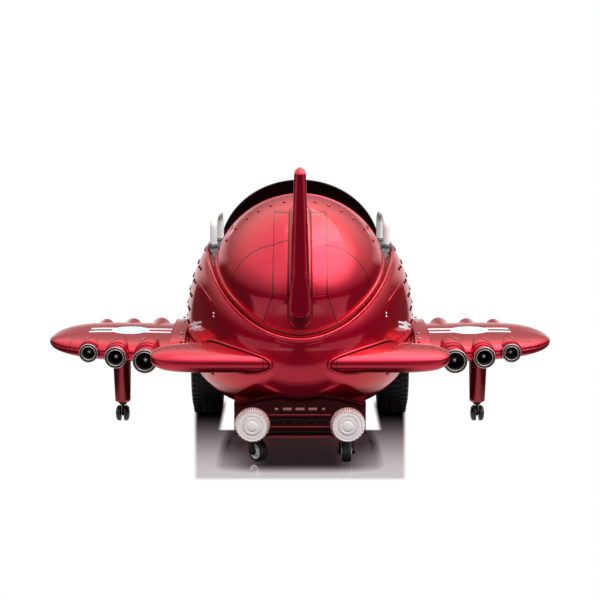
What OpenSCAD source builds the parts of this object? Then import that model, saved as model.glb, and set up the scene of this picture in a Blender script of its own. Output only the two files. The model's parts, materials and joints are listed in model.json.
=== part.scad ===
// Electric ride-on toy airplane, in millimetres.
// Origin on the ground under the middle of the airplane; +Y points to the nose, +Z up.

/* [Fuselage] */
// Half width of the hull at its widest section
hull_half_w = 283; // [278:1:290]
// Height of the hull's widest line above the ground
hull_z = 271; // [266:1:276]
// Y of the widest section
hull_y = -100; // [-108:1:-92]
// Height of the hull's crown above its widest line
hull_up = 315; // [310:1:322]
// Depth of the belly under the widest line
hull_down = 195; // [188:1:197]
// Length of the tail behind the widest section
tail_len = 457; // [452:1:459]
// Length of the ellipse that the nose half of the plan follows
nose_len = 670; // [655:1:690]
// Y of the open front end of the hull, where the cowl starts
nose_y = 400; // [392:1:404]
// Wall of the moulded shells
wall = 4; // [3:0.5:4.5]
// Height of the rim beside the cockpit
rim_z = 448; // [444:1:452]
// Height of the rim at the tail
rim_tail_z = 302; // [298:1:306]
// Height of the rim at the cowl
rim_nose_z = 298; // [292:1:304]
// Width of the ledge inside the rim, which carries the decks
ledge_w = 34; // [32:1:38]
// Gap left between mouldings that meet
seam = 0.6; // [0.5:0.05:0.8]

/* [Decks] */
// Y of the tail deck's front edge
deck_y = -200; // [-204:1:-196]
// Height of the tail deck's centre of curvature
deck_z = 375; // [370:1:380]
// Radius of the tail deck's front arch
deck_r = 215; // [211:1:218]
// Length of the tail deck
deck_len = 333; // [329:1:336]
// Y of the hood's rear edge
hood_y = 150; // [144:1:156]
// Height of the hood's top at its rear edge
hood_top_z = 500; // [494:1:508]
// Y of the windshield's foot at the centre line
windshield_foot_y = 262; // [250:1:275]
// Height of the windshield's top edge
windshield_top_z = 592; // [585:1:600]
// Half width of the windshield at its foot
windshield_half_w = 206; // [202:1:208]

/* [Tail] */
// Height of the fin's top above the ground
fin_top_z = 680; // [670:1:690]
// Y of the fin's trailing edge
fin_y = -549; // [-552:1:-547]
// Half thickness of the fin at its foot
fin_foot_t = 23.5; // [22:0.5:25]
// Half thickness of the fin near its top
fin_top_t = 12.5; // [11:0.5:14]
// Half width of the fairing along the fin's foot
fairing_half_w = 29; // [28:0.5:31]
// Thickness of that fairing
fairing_t = 10; // [8:0.5:12]
// X of the stabilizer's tip
stab_tip_x = 338; // [325:1:350]
// Height of the stabilizer's middle
stab_z = 252; // [248:1:256]
// Half thickness of the stabilizer
stab_t = 23; // [20:0.5:25]

/* [Wings] */
// X of the wing tip
wing_tip_x = 630; // [615:1:645]
// How far the root fairing reaches outside the hull's widest point
root_reach = 29; // [25:1:33]
// Height of the wing's middle at the root
wing_z = 206; // [203:1:209]
// Half thickness of the wing at the root
wing_t = 28; // [26:0.5:29]
// Y of the leading edge at the root
wing_front_y = 40; // [34:1:46]
// Y of the trailing edge at the root
wing_rear_y = -282; // [-288:1:-276]
// How far the root fairing stands over the wing's surface
root_rise = 13; // [10:1:15]
// Distance of the inner exhaust tube from the centre line
tube_1_x = 368; // [364:1:372]
// Distance of the middle exhaust tube from the centre line
tube_2_x = 442; // [439:1:445]
// Distance of the outer exhaust tube from the centre line
tube_3_x = 513; // [509:1:517]
// Radius of the inner exhaust tube
tube_1_r = 27; // [25:0.5:28]
// Radius of the middle exhaust tube
tube_2_r = 24; // [22:0.5:25]
// Radius of the outer exhaust tube
tube_3_r = 21; // [19:0.5:22]

/* [Wheels] */
// Y of the front axle
axle_y = -20; // [-24:1:-16]
// Radius of the front wheel
wheel_r = 120; // [117:1:122]
// Width of the front wheel
wheel_w = 76; // [70:1:78]
// Distance of the front wheel's middle plane inside the hull's widest point
wheel_inset = 44; // [43:1:46]
// Radius of the steel front axle
axle_r = 8; // [6:0.5:9]
// Radius of the rear caster's wheel
caster_r = 25; // [23:0.5:26]
// Width of the rear caster's wheel
caster_w = 24; // [20:1:25]
// X of the rear caster's swivel
caster_x = 107; // [102:1:112]
// Y of the rear caster's swivel
caster_y = -462; // [-468:1:-458]
// Angle that the left rear caster is turned by at rest
caster_turn = 40; // [0:5:90]
// X of the wing leg
leg_x = 450; // [447:1:453]
// Y of the wing leg
leg_y = -130; // [-134:1:-126]
// Height of the leg's lower end
leg_foot_z = 54; // [52:1:58]
// Radius of the leg's lower end
leg_foot_r = 19.5; // [18:0.5:21]
// Radius of the leg's upper end
leg_top_r = 22.5; // [21:0.5:24]
// Radius of the plate that holds the leg to the wing
leg_plate_r = 29; // [27:0.5:31]
// Radius of the wing caster's twin wheels
twin_r = 20; // [18:0.5:21]
// Height of the twin wheels above the ground
twin_lift = 6; // [4:0.5:8]

/* [Rear bumper] */
// Half width of the bumper box
bumper_half_w = 149; // [146:1:152]
// Height of the bumper's underside
bumper_z = 76; // [74:1:79]
// Y of the bumper's rear face
bumper_y = -534; // [-536:1:-532]
// Top of the bumper's rear face
bumper_top_z = 149; // [147:1:151]
// Distance of a tail lamp from the centre line
lamp_x = 107; // [104:1:109]
// Height of the tail lamps
lamp_z = 104; // [102:1:108]
// Radius of the tail lamp's lens
lamp_r = 41; // [38:1:42]
// Depth of the tail lamp's lens
lamp_depth = 20; // [16:1:22]

/* [Nose] */
// Width of the cowl's front between its outer radius and the intake
cowl_lip = 40.4; // [37:0.2:46]
// Length of the cowl
cowl_len = 70; // [64:1:76]
// Tip radius of the propeller
prop_r = 176; // [165:1:185]
// Radius of the propeller shaft
shaft_r = 4; // [3:0.5:5]
// Radius of the spinner's base
spinner_r = 44; // [40:1:48]
// Y of the spinner's tip
spinner_tip_y = 560; // [556:1:566]

/* [Cockpit] */
// Height of the cockpit floor
floor_z = 200; // [197:1:203]
// Distance of the tub's side at its floor inside the hull's widest point
tub_inset = 115; // [113:1:119]
// Distance of the seat's side inside the tub's side at its floor
seat_inset = 36; // [34:1:40]
// Height of the seat's surface
seat_z = 262; // [256:1:268]
// Height of the backrest's top
seat_top_z = 552; // [540:1:556]
// Radius of the grab handle's tube
handle_r = 9; // [8:0.5:10]
// Height of the grab handle over the rim
handle_h = 74; // [68:1:80]
// Length of the grab handle between its feet
handle_len = 116; // [110:1:120]
// Distance of the joysticks inside the tub's side at its floor
stick_inset = 20; // [18:1:22]
// Y of the joysticks
stick_y = 48; // [44:1:50]
// Length of a joystick above its pivot
stick_len = 112; // [104:1:116]
// Radius of the joystick's pivot pin
pin_r = 3; // [2.5:0.25:3.5]
// Radius of the dash buttons
button_r = 9; // [8:0.5:10]
// Travel of the dash buttons
button_travel = 3; // [2:0.5:3.5]
// Radius of the charging socket's bore
socket_r = 2.8; // [2.6:0.1:3.2]

/* [Hidden] */
$fa = 6;
$fs = 1;
fit = 0.05;         // radial clearance of a running fit
slip = 0.3;         // clearance around a part that drops into a hole
touch = 0.3;        // clearance under a part that rests on a curved moulding

red = [0.62, 0.03, 0.07];
dark_red = [0.42, 0.02, 0.05];
black = [0.04, 0.04, 0.045];
dark_grey = [0.18, 0.18, 0.19];
silver = [0.75, 0.76, 0.78];
steel = [0.55, 0.56, 0.58];
pearl = [0.92, 0.92, 0.93];

// General helpers

function mix(a, b, t) = a + (b - a) * t;
function signed_pow(v, n) = sign(v) * pow(abs(v), n);
// Faces of a sheet of points, rows by columns, seen from its outer side.
function sheet_faces(rows, cols) = [
    for (i = [0 : rows - 2], j = [0 : cols - 2])
        let (a = i * cols + j, b = a + 1, c = a + cols + 1, d = a + cols)
        for (face = [[a, b, c], [a, c, d]]) face,
];
// The faces whose three corners are three different places.
function true_faces(points, faces) = [
    for (f = faces)
        if (norm(points[f[0]] - points[f[1]]) > 0.01 && norm(points[f[1]] - points[f[2]]) > 0.01
            && norm(points[f[2]] - points[f[0]]) > 0.01) f,
];
function flat(rows) = [for (row = rows) for (p = row) p];

function turned(points) = [for (i = [len(points) - 1 : -1 : 0]) points[i]];

// Skins a list of rings, each a closed loop of points, and closes both ends. The loops run
// clockwise as seen from the last ring towards the first. The ends of a sheet are closed between
// its two sides, whose points are the two halves of a loop.
module loft(rings, sheet = false) {
    count = len(rings);
    size = len(rings[0]);
    points = flat(rings);
    sides = [
        for (i = [0 : count - 2], j = [0 : size - 1])
            let (k = (j + 1) % size, a = i * size + j, b = i * size + k)
            for (face = [[a, b, b + size], [a, b + size, a + size]]) face,
    ];
    strip = [
        for (j = [0 : size / 2 - 2])
            let (k = size - 1 - j)
            for (face = [[j, k, k - 1], [j, k - 1, j + 1]]) face,
    ];
    far = [for (f = strip) [f[0], f[2], f[1]] + (count - 1) * size * [1, 1, 1]];
    ends = sheet ? concat(strip, far)
                 : [[for (j = [size - 1 : -1 : 0]) j], [for (j = [0 : size - 1]) (count - 1) * size + j]];
    polyhedron(points, concat(true_faces(points, sides), ends), convexity = 6);
}

module cylinder_y(r, y0, y1, x = 0, z = 0, r2 = undef) {
    translate([x, y0, z])
        rotate([-90, 0, 0])
            cylinder(r1 = r, r2 = is_undef(r2) ? r : r2, h = y1 - y0);
}

module cylinder_x(r, x0, x1, y = 0, z = 0) {
    translate([x0, y, z])
        rotate([0, 90, 0])
            cylinder(r = r, h = x1 - x0);
}

module both_sides() {
    children();
    mirror([1, 0, 0]) children();
}

// Hull surface. d moves it inwards.

nose_r = hull_half_w * sqrt(1 - pow((nose_y - hull_y) / nose_len, 2));
wheel_x = hull_half_w - wheel_inset;
tub_half_w = hull_half_w - tub_inset;
seat_half_w = tub_half_w - seat_inset;
stick_x = tub_half_w - stick_inset;
wing_root_x = hull_half_w + root_reach;
intake_r = nose_r - cowl_lip;

// Share of the plan that a level of the tail half still has.
function level_r(z, d = 0) = z >= hull_z
    ? sqrt(max(0, 1 - pow((z - hull_z) / (hull_up - d), 2)))
    : pow(max(0, 1 - pow((hull_z - z) / (hull_down - d), 3)), 1 / 3);
function nose_share(y) = (y - hull_y) / (nose_y - hull_y);
function nose_w(y, d = 0) = hull_half_w * sqrt(1 - pow((y - hull_y) / nose_len, 2)) - d;
function nose_up(y, d = 0) = (nose_w(y) * mix(hull_up / hull_half_w, 1, nose_share(y))) - d;
function nose_down(y, d = 0) = mix(hull_down, nose_r, nose_share(y)) - d;
function nose_power(y) = mix(3, 2, nose_share(y));
function nose_x(y, z, d = 0) = z >= hull_z
    ? nose_w(y, d) * sqrt(max(0, 1 - pow((z - hull_z) / nose_up(y, d), 2)))
    : nose_w(y, d) * pow(max(0, 1 - pow((hull_z - z) / nose_down(y, d), nose_power(y))), 1 / nose_power(y));
function tail_x(y, z, d = 0) = (hull_half_w - d)
    * sqrt(max(0, pow(level_r(z, d), 2) - pow((hull_y - y) / (tail_len - d), 2)));
// Half width of the hull at a station and a height.
function hull_x(y, z, d = 0) = y <= hull_y ? tail_x(y, z, d) : nose_x(y, z, d);
// Height of the belly under a point of the plan, in the tail half.
function belly_z(x, y, d = 0) = let (r = sqrt(pow(x / (hull_half_w - d), 2) + pow((hull_y - y) / (tail_len - d), 2)))
    hull_z - (hull_down - d) * pow(max(0, 1 - pow(r, 3)), 1 / 3);
function belly_nose_z(x, y, d = 0) = hull_z - nose_down(y, d)
    * pow(max(0, 1 - pow(x / nose_w(y, d), nose_power(y))), 1 / nose_power(y));
function floor_of_hull(x, y, d = 0) = y <= hull_y ? belly_z(x, y, d) : belly_nose_z(x, y, d);

// Height of the rim round the tail, by the angle in plan, and along the nose.
rim_fall = 2.6;
function tail_rim(phi) = rim_tail_z + (rim_z - rim_tail_z) * (1 - pow(sin(phi), rim_fall));
function nose_rim(y) = rim_z - (rim_z - rim_nose_z) * pow(nose_share(y), 4);
function plan_angle(x, y) = atan2((hull_y - y) / tail_len, abs(x) / hull_half_w);
function rim_at(x, y) = y <= hull_y ? tail_rim(plan_angle(x, y)) : nose_rim(y);

rib_rows = 12;      // rows of the hull's skin from rim to keel
tail_ribs = 36;     // ribs round the tail
nose_stations = [0, 30, 80, 140, 200, 270, 340, 420, 500];
nose_ribs = [for (s = nose_stations) hull_y + s * (nose_y - hull_y) / 500];

// A rib's angle at row j, from the rim's own angle a down to the keel.
function row_angle(a, j) = j == rib_rows ? -90 : a - (a + 90) * j / rib_rows;
function bend(angle, n) = pow(abs(cos(angle)), n);
function tail_rib_point(phi, rim, j, d) =
    let (a = row_angle(asin(min(1, (rim - hull_z) / (hull_up - d))), j),
         r = a >= 0 ? cos(a) : bend(a, 2 / 3),
         z = a >= 0 ? hull_z + (hull_up - d) * sin(a) : hull_z - (hull_down - d) * pow(-sin(a), 2 / 3))
    [(hull_half_w - d) * r * cos(phi), hull_y - (tail_len - d) * r * sin(phi), z];
function nose_rib_point(y, rim, j, d) =
    let (a = row_angle(asin(min(1, (rim - hull_z) / nose_up(y, d))), j),
         n = nose_power(y),
         r = a >= 0 ? cos(a) : bend(a, 2 / n),
         z = a >= 0 ? hull_z + nose_up(y, d) * sin(a) : hull_z - nose_down(y, d) * pow(-sin(a), 2 / n))
    [nose_w(y, d) * r, y, z];
// Moves a point of the tail inwards in plan, towards the middle of the widest section.
function inward(p, w) = let (v = [p[0], p[1] - hull_y], s = max(0, 1 - w / norm(v)))
    [v[0] * s, hull_y + v[1] * s, p[2]];

function tail_rib(phi) =
    let (rim = tail_rim(phi), top = tail_rib_point(phi, rim, 0, 0))
    concat(
        [for (j = [rib_rows : -1 : 0]) tail_rib_point(phi, rim - wall, j, wall)],
        [inward(top, ledge_w) - [0, 0, wall], inward(top, ledge_w)],
        [for (j = [0 : rib_rows]) tail_rib_point(phi, rim, j, 0)]);
function nose_rib(y) =
    let (rim = nose_rim(y), top = nose_rib_point(y, rim, 0, 0))
    concat(
        [for (j = [rib_rows : -1 : 0]) nose_rib_point(y, rim - wall, j, wall)],
        [top - [ledge_w, 0, wall], top - [ledge_w, 0, 0]],
        [for (j = [0 : rib_rows]) nose_rib_point(y, rim, j, 0)]);
function mirrored(points) = [for (p = points) [-p[0], p[1], p[2]]];

module hull_skin() {
    front = [for (i = [len(nose_ribs) - 1 : -1 : 1]) nose_rib(nose_ribs[i])];
    ribs = concat(
        front,
        [for (i = [0 : tail_ribs]) tail_rib(180 * i / tail_ribs)],
        [for (i = [len(front) - 1 : -1 : 0]) mirrored(front[i])]);
    cols = len(ribs[0]);
    points = flat(ribs);
    faces = sheet_faces(len(ribs), cols);
    last = (len(ribs) - 1) * cols;
    ends = [[for (j = [cols - 1 : -1 : 0]) j], [for (j = [0 : cols - 1]) last + j]];
    polyhedron(points, concat(true_faces(points, faces), ends), convexity = 8);
}

arch_r = wheel_r + 16;              // wheel arch
liner_x = wheel_x - wheel_w / 2 - 10;
liner_t = 3;

module lower_hull() {
    color(red)
        difference() {
            hull_skin();
            both_sides()
                cylinder_x(arch_r + liner_t + slip, liner_x - liner_t - slip, hull_half_w + 20, axle_y, wheel_r);
        }
}

// Chassis inside the hull

pan_half_w = 128;
pan_rear = -300;
pan_front = axle_y + 90;
pan_z = 102;
pan_t = 6;
pan_top = pan_z + pan_t;
post_r = 9;
post_x = 0.75 * pan_half_w;
post_inset = 30;
posts = [for (y = [pan_rear + post_inset, hull_y, pan_front - post_inset]) [post_x, y]];
screw_reach = 6;    // length of a screw's thread in its post

module chassis_pan() {
    color(dark_grey) {
        difference() {
            translate([-pan_half_w, pan_rear, pan_z])
                cube([2 * pan_half_w, pan_front - pan_rear, pan_t]);
            both_sides()
                for (p = posts)
                    translate([p[0], p[1], pan_z - 1])
                        cylinder(r = screw_r + slip, h = pan_t + 2);
        }
        both_sides()
            for (p = posts) {
                foot = max(floor_of_hull(p[0] + post_r, p[1] - post_r, wall),
                           floor_of_hull(p[0] + post_r, p[1] + post_r, wall)) + 3 * touch;
                translate([p[0], p[1], foot])
                    difference() {
                        cylinder(r = post_r, h = pan_z - foot);
                        translate([0, 0, pan_z - foot - screw_reach - 1])
                            cylinder(r = screw_r + slip, h = 2 * screw_reach);
                    }
            }
    }
}

// Fixed houses over the front wheels, one each side
module wheel_liners() {
    color(black)
        both_sides()
            difference() {
                cylinder_x(arch_r + liner_t, liner_x - liner_t, hull_half_w, axle_y, wheel_r);
                cylinder_x(arch_r, liner_x, hull_half_w + 1, axle_y, wheel_r);
                cylinder_x(axle_r + 2 * slip, liner_x - liner_t - 1, liner_x + 1, axle_y, wheel_r);
                translate([liner_x - liner_t - 1, axle_y - 2 * arch_r, -arch_r])
                    cube([wheel_w * 2, 4 * arch_r, arch_r + liner_cut_z]);
                outside_hull(axle_y - arch_r, -1);
                outside_hull(axle_y + arch_r, 1);
            }
}
liner_cut_z = 104;

// The space outside the hull beside one half of a wheel arch, by the hull's section at a station
module outside_hull(y, side) {
    zs = [for (z = [liner_cut_z - 4 : 12 : wheel_r + arch_r + 16]) z];
    far = hull_half_w + 10;
    translate([0, side < 0 ? axle_y : axle_y + arch_r + 10, 0])
        rotate([90, 0, 0])
            linear_extrude(arch_r + 10)
                polygon(concat([for (z = zs) [hull_x(y, z) - 1, z]], [[far, zs[len(zs) - 1]], [far, zs[0]]]));
}

gear_w = 34;
gear_r = 34;
gear_x = liner_x - liner_t - gear_w;
gear_rise = 25;     // height of the gearbox's middle over the axle
motor_r = 18;
motor_len = 58;
motor_back = 62;    // distance of the motor behind the axle
motor_y = axle_y - motor_back;
motor_z = wheel_r + gear_rise + 9;
motor_end_r = 26;
foot_inset = 8;
foot_h = 12;

module drive_gearboxes() {
    color(dark_grey)
        both_sides()
            difference() {
                hull() {
                    cylinder_x(gear_r, gear_x, gear_x + gear_w, axle_y, wheel_r + gear_rise);
                    cylinder_x(motor_end_r, gear_x, gear_x + gear_w, motor_y, motor_z);
                    translate([gear_x, motor_y - 20, pan_top])
                        cube([gear_w - foot_inset, motor_back + 50, foot_h]);
                }
                cylinder_x(axle_r + fit, gear_x - 1, gear_x + gear_w + 1, axle_y, wheel_r);
            }
}

module drive_motors() {
    color(silver)
        both_sides() {
            cylinder_x(motor_r, gear_x - motor_len, gear_x, motor_y, motor_z);
            cylinder_x(6, gear_x - motor_len - 4, gear_x - motor_len, motor_y, motor_z);
        }
}

axle_end_x = wheel_x + wheel_w / 2 - 8;
module front_axle() {
    color(steel)
        cylinder_x(axle_r, -axle_end_x, axle_end_x, axle_y, wheel_r);
}

battery_size = [150, 66, 94];
battery_y = pan_rear + 12;
module battery() {
    color(dark_grey) {
        translate([-battery_size[0] / 2, battery_y, pan_top])
            cube(battery_size);
        for (x = [-48, 48])
            translate([x, battery_y + 18, pan_top + battery_size[2]])
                cylinder(r = 5, h = 7);
    }
}

module control_unit() {
    color(black)
        difference() {
            translate([-50, battery_y + battery_size[1] + 14, pan_top])
                cube([100, 70, 32]);
            for (x = [-36 : 12 : 36])
                translate([x - 3, battery_y + battery_size[1] + 20, pan_top + 30])
                    cube([6, 58, 4]);
        }
}

// Tail deck, fin and fairing. The deck is part of an ellipsoid over straight walls.

function deck_share(z, d = 0) = sqrt(max(0, 1 - pow(max(0, z - deck_z) / (deck_r + d), 2)));
// Y of the deck's surface behind a point, d outside it.
function deck_back_y(x, z, d = 0) = deck_y - (deck_len + d)
    * sqrt(max(0, pow(deck_share(z, d), 2) - pow(x / (deck_r + d), 2)));
function deck_top_z(x, y, d = 0) = deck_z + (deck_r + d)
    * sqrt(max(0, 1 - pow(x / (deck_r + d), 2) - pow((deck_y - y) / (deck_len + d), 2)));
// Height of the ledge where the deck's rib at an angle stands on it.
function deck_foot(phi, d, share = 1, tries = 3) =
    let (z = rim_at((deck_r + d) * share * cos(phi), deck_y - (deck_len + d) * share * sin(phi)) + seam)
    tries == 0 ? z : deck_foot(phi, d, deck_share(z, d), tries - 1);

deck_ribs = 28;
deck_rows = 7;
function deck_point(phi, j, d) =
    let (foot = deck_foot(phi, d),
         low = asin(max(0, foot - deck_z) / (deck_r + d)),
         angle = j == deck_rows ? 90 : mix(low, 90, j / deck_rows),
         z = j == 0 ? foot : deck_z + (deck_r + d) * sin(angle),
         share = cos(angle))
    [(deck_r + d) * share * cos(phi), deck_y - (deck_len + d) * share * sin(phi), z];

module tail_deck() {
    ribs = [
        for (i = [0 : deck_ribs])
            let (phi = 180 * i / deck_ribs)
            concat([for (j = [deck_rows : -1 : 0]) deck_point(phi, j, -wall)],
                   [for (j = [0 : deck_rows]) deck_point(phi, j, 0)]),
    ];
    cols = len(ribs[0]);
    points = flat(ribs);
    last = deck_ribs * cols;
    ends = [[for (j = [0 : cols - 1]) j], [for (j = [cols - 1 : -1 : 0]) last + j]];
    faces = [for (f = true_faces(points, sheet_faces(deck_ribs + 1, cols))) turned(f)];
    color(red) polyhedron(points, concat(faces, ends), convexity = 6);
}

// Band along the deck's centre, from its foot at the tail to the front of the fin.
fairing_rows = 18;
fairing_foot_z = 328;
fairing_front_y = deck_y - 145;
function spine_point(t, x, d) =
    let (foot = fairing_foot_z,
         end = acos((deck_y - fairing_front_y) / deck_len),
         angle = mix(0, end, max(0, t - 0.06) / 0.94),
         r = sqrt(1 - pow(x / (deck_r + d), 2)))
    t <= 0.06
        ? [x, deck_y - (deck_len + d) * r, mix(foot, deck_z, t / 0.06)]
        : [x, deck_y - (deck_len + d) * r * cos(angle), deck_z + (deck_r + d) * r * sin(angle)];

module fin_fairing() {
    across = [-1, -0.94, -0.8, -0.4, 0, 0.4, 0.8, 0.94, 1];
    rise = [0.15, 0.65, 1, 1, 1, 1, 1, 0.65, 0.15];
    rings = [
        for (i = [0 : fairing_rows])
            let (t = i / fairing_rows, w = fairing_half_w * (i == 0 ? 0.72 : i == fairing_rows ? 0.8 : 1))
            concat([for (k = [0 : len(across) - 1]) spine_point(t, w * across[k], seam)],
                   [for (k = [len(across) - 1 : -1 : 0])
                       spine_point(t, w * across[k], seam + (fairing_t - seam) * rise[k])]),
    ];
    color(dark_red) loft(rings);
}

fin_edge = 10;       // depth of the fin's rounded edges
fin_foot_z = 352;
fin_break_z = 570;   // where the leading edge leaves the fairing
fin_foot_share = 0.06; // share of the height over which the foot is rounded
fin_break_y = deck_back_y(0, fin_break_z, fairing_t);
fin_nose_y = -470;   // leading edge near the top
fin_levels = [0, 0.03, 0.08, 0.14, 0.2, 0.26, 0.32, 0.38, 0.44, 0.5, 0.56, 0.61, 0.66, 0.71, 0.8, 0.89, 0.955,
              0.985, 1];
fin_gap = fairing_t + 3 * touch;
function fin_ring(t) =
    let (z = mix(fin_foot_z, fin_top_z, t),
         cap = t < 0.955 ? 1 : sqrt(max(0.05, 1 - pow((t - 0.955) / 0.046, 2))),
         foot = t > fin_foot_share ? 1 : sqrt(1 - 0.88 * pow(1 - t / fin_foot_share, 2)),
         h = mix(fin_foot_t, fin_top_t, t) * cap * foot,
         rear = fin_y + (1 - cap) * 22,
         free = z > fin_break_z,
         front = free ? mix(fin_break_y, fin_nose_y, (z - fin_break_z) / (fin_top_z - 12 - fin_break_z)) - (1 - cap) * 30
                      : deck_back_y(0, z, fin_gap) - touch,
         side = free ? front - 26 : deck_back_y(h, z, fin_gap) - touch,
         half = free ? front - 8 : deck_back_y(0.6 * h, z, fin_gap) - touch,
         back = min(rear + fin_edge, side - 1),
         right = [[0, rear, z], [0.66 * h, rear + 0.3 * (back - rear), z], [h, back, z],
                  [h, mix(back, side, 0.5), z], [h, side, z], [0.66 * h, half, z], [0, front, z]])
    concat(right, [for (k = [5 : -1 : 1]) [-right[k][0], right[k][1], right[k][2]]]);

module tail_fin() {
    color(red) loft([for (t = fin_levels) turned(fin_ring(t))]);
}

// Stabilizers and wings are lofts along X.

section_points = 24;
function plank(k, n) =
    let (a = 360 * k / section_points)
    [signed_pow(cos(a), 2 / n), signed_pow(sin(a), 2 / n)];

stab_root_front = -392;
stab_rear = -546;
stab_stations = [0, 0.2, 0.45, 0.7, 0.86, 0.95, 0.99, 1];
function stab_ring(s) =
    [for (k = [0 : section_points - 1])
        let (q = plank(k, 2.6),
             front = mix(stab_root_front, -446, s) - 44 * (1 - sqrt(1 - pow(s, 8) * 0.999)),
             rear = stab_rear + 46 * (1 - sqrt(1 - pow(s, 9) * 0.999)),
             t = stab_t * mix(1, 0.94, s) * sqrt(1 - pow(s, 7) * 0.93),
             y = mix(rear, front, (q[0] + 1) / 2),
             z = stab_z + t * q[1],
             root_y = mix(stab_rear, stab_root_front, (q[0] + 1) / 2),
             root = hull_x(root_y, stab_z + stab_t * q[1]) + seam)
        [mix(root, stab_tip_x, s), y, z]];

// Closes a root ring against the hull: the hull's own curve between the upper and the lower points.
function root_grid(ring, rows, gap) =
    [for (k = [1 : section_points / 2 - 1])
        let (top = ring[k], low = ring[section_points - k])
        [for (i = [0 : rows])
            let (y = mix(top[1], low[1], i / rows), z = mix(top[2], low[2], i / rows))
            i == 0 ? top : i == rows ? low : [hull_x(y, z) + gap, y, z]]];

// A loft whose first end follows the hull.
module rooted_loft(rings, rows, gap = seam) {
    size = section_points;
    count = len(rings);
    grid = root_grid(rings[0], rows, gap);
    cols = rows + 1;
    start = count * size;
    points = concat(flat(rings), flat(grid));
    body = [
        for (i = [0 : count - 2], j = [0 : size - 1])
            let (k = (j + 1) % size, a = i * size + j, b = i * size + k)
            for (face = [[a, b + size, b], [a, a + size, b + size]]) face,
    ];
    end = [[for (j = [size - 1 : -1 : 0]) (count - 1) * size + j]];
    root = [for (f = sheet_faces(len(grid), cols)) [f[0] + start, f[2] + start, f[1] + start]];
    first = [for (i = [0 : rows - 1]) [0, start + i, start + i + 1]];
    far = start + (len(grid) - 1) * cols;
    back = [for (i = [0 : rows - 1]) [size / 2, far + i + 1, far + i]];
    polyhedron(points, concat(true_faces(points, body), end, true_faces(points, root), first, back), convexity = 6);
}

module right_stabilizer() {
    color(red) rooted_loft([for (s = stab_stations) stab_ring(s)], 3);
}

module left_stabilizer() {
    mirror([1, 0, 0]) right_stabilizer();
}

wing_power = 3.2;
function wing_front(t) = wing_front_y - (wing_front_y - leg_y - 10) * (1 - sqrt(1 - pow(t, 6) * 0.999));
function wing_rear(t) = wing_rear_y + (leg_y + 10 - wing_rear_y) * (1 - sqrt(1 - pow(t, 2.6) * 0.999));
function wing_half_t(t) = wing_t * sqrt(1 - pow(t, 5) * 0.97);
function wing_mid_z(t) = wing_z + 6 * t;
function wing_ring(t) =
    [for (k = [0 : section_points - 1])
        let (q = plank(k, wing_power))
        [mix(wing_root_x, wing_tip_x, t),
         mix(wing_rear(t), wing_front(t), (q[0] + 1) / 2),
         wing_mid_z(t) + wing_half_t(t) * q[1]]];
wing_stations = [0, 0.18, 0.36, 0.54, 0.68, 0.8, 0.89, 0.95, 0.985, 1];
tubes = [[tube_1_x, tube_1_r, -340], [tube_2_x, tube_2_r, -306], [tube_3_x, tube_3_r, -262]];
tube_front = 60;
tube_depth = 44;     // depth of the dark bore behind a nozzle
nozzle_len = 14;
function tube_z(x) = wing_mid_z((x - wing_root_x) / (wing_tip_x - wing_root_x));

module right_wing() {
    color(red)
        difference() {
            union() {
                loft([for (t = wing_stations) turned(wing_ring(t))]);
                for (tube = tubes) {
                    cylinder_y(tube[1], tube[2], tube_front, tube[0], tube_z(tube[0]));
                    translate([tube[0], tube_front, tube_z(tube[0])])
                        sphere(r = tube[1]);
                }
            }
            for (tube = tubes)
                cylinder_y(tube[1] - wall, tube[2] - 1, tube[2] + tube_depth, tube[0], tube_z(tube[0]));
        }
}

module left_wing() {
    mirror([1, 0, 0]) right_wing();
}

root_stations = [0, 1];
function wing_root_ring(s) =
    [for (k = [0 : section_points - 1])
        let (q = plank(k, wing_power),
             y = mix(wing_rear_y - root_rise, wing_front_y + root_rise, (q[0] + 1) / 2),
             z = wing_z + (wing_t + root_rise) * q[1])
        [s == 0 ? hull_x(y, z) + 2 * seam : wing_root_x - touch, y, z]];

module wing_roots() {
    color(red)
        both_sides()
            difference() {
                rooted_loft([for (s = root_stations) wing_root_ring(s)], 4, 2 * seam);
                cylinder_x(arch_r + liner_t + slip, liner_x, wheel_x + wheel_w / 2 + 6, axle_y, wheel_r);
            }
}

module nozzle_rings() {
    color(silver)
        both_sides()
            for (tube = tubes)
                translate([tube[0], tube[2], tube_z(tube[0])])
                    rotate([90, 0, 0])
                        rotate_extrude()
                            polygon([[tube[1] - wall - 3, -8], [tube[1] - wall - slip, -8],
                                     [tube[1] - wall - slip, 0], [tube[1] + 2, 0], [tube[1] + 2, nozzle_len - 3],
                                     [tube[1] - 1, nozzle_len], [tube[1] - wall - 1, nozzle_len],
                                     [tube[1] - wall - 3, nozzle_len - 4]]);
}

module nozzle_cores() {
    color(black)
        both_sides()
            for (tube = tubes)
                translate([tube[0], tube[2] + tube_depth - touch, tube_z(tube[0])])
                    rotate([90, 0, 0]) {
                        cylinder(r = tube[1] - wall - slip, h = 6);
                        cylinder(r1 = 6, r2 = 3, h = 24);
                    }
}

leg_t = (leg_x - wing_root_x) / (wing_tip_x - wing_root_x);
leg_top_z = wing_mid_z(leg_t) - wing_half_t(leg_t) - 3 * touch;
leg_plate_t = 10;
stem_r = 5;
stem_depth = 40;
module wing_legs() {
    color(red)
        both_sides()
            translate([leg_x, leg_y, 0])
                difference() {
                    union() {
                        translate([0, 0, leg_foot_z])
                            cylinder(r1 = leg_foot_r, r2 = leg_top_r, h = leg_top_z - leg_foot_z);
                        translate([0, 0, leg_top_z - leg_plate_t])
                            cylinder(r = leg_plate_r, h = leg_plate_t);
                    }
                    translate([0, 0, leg_foot_z - 1])
                        cylinder(r = stem_r + fit, h = stem_depth + 1);
                }
}

// Rear bumper: a tray hung under the tail, open towards the hull

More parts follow.
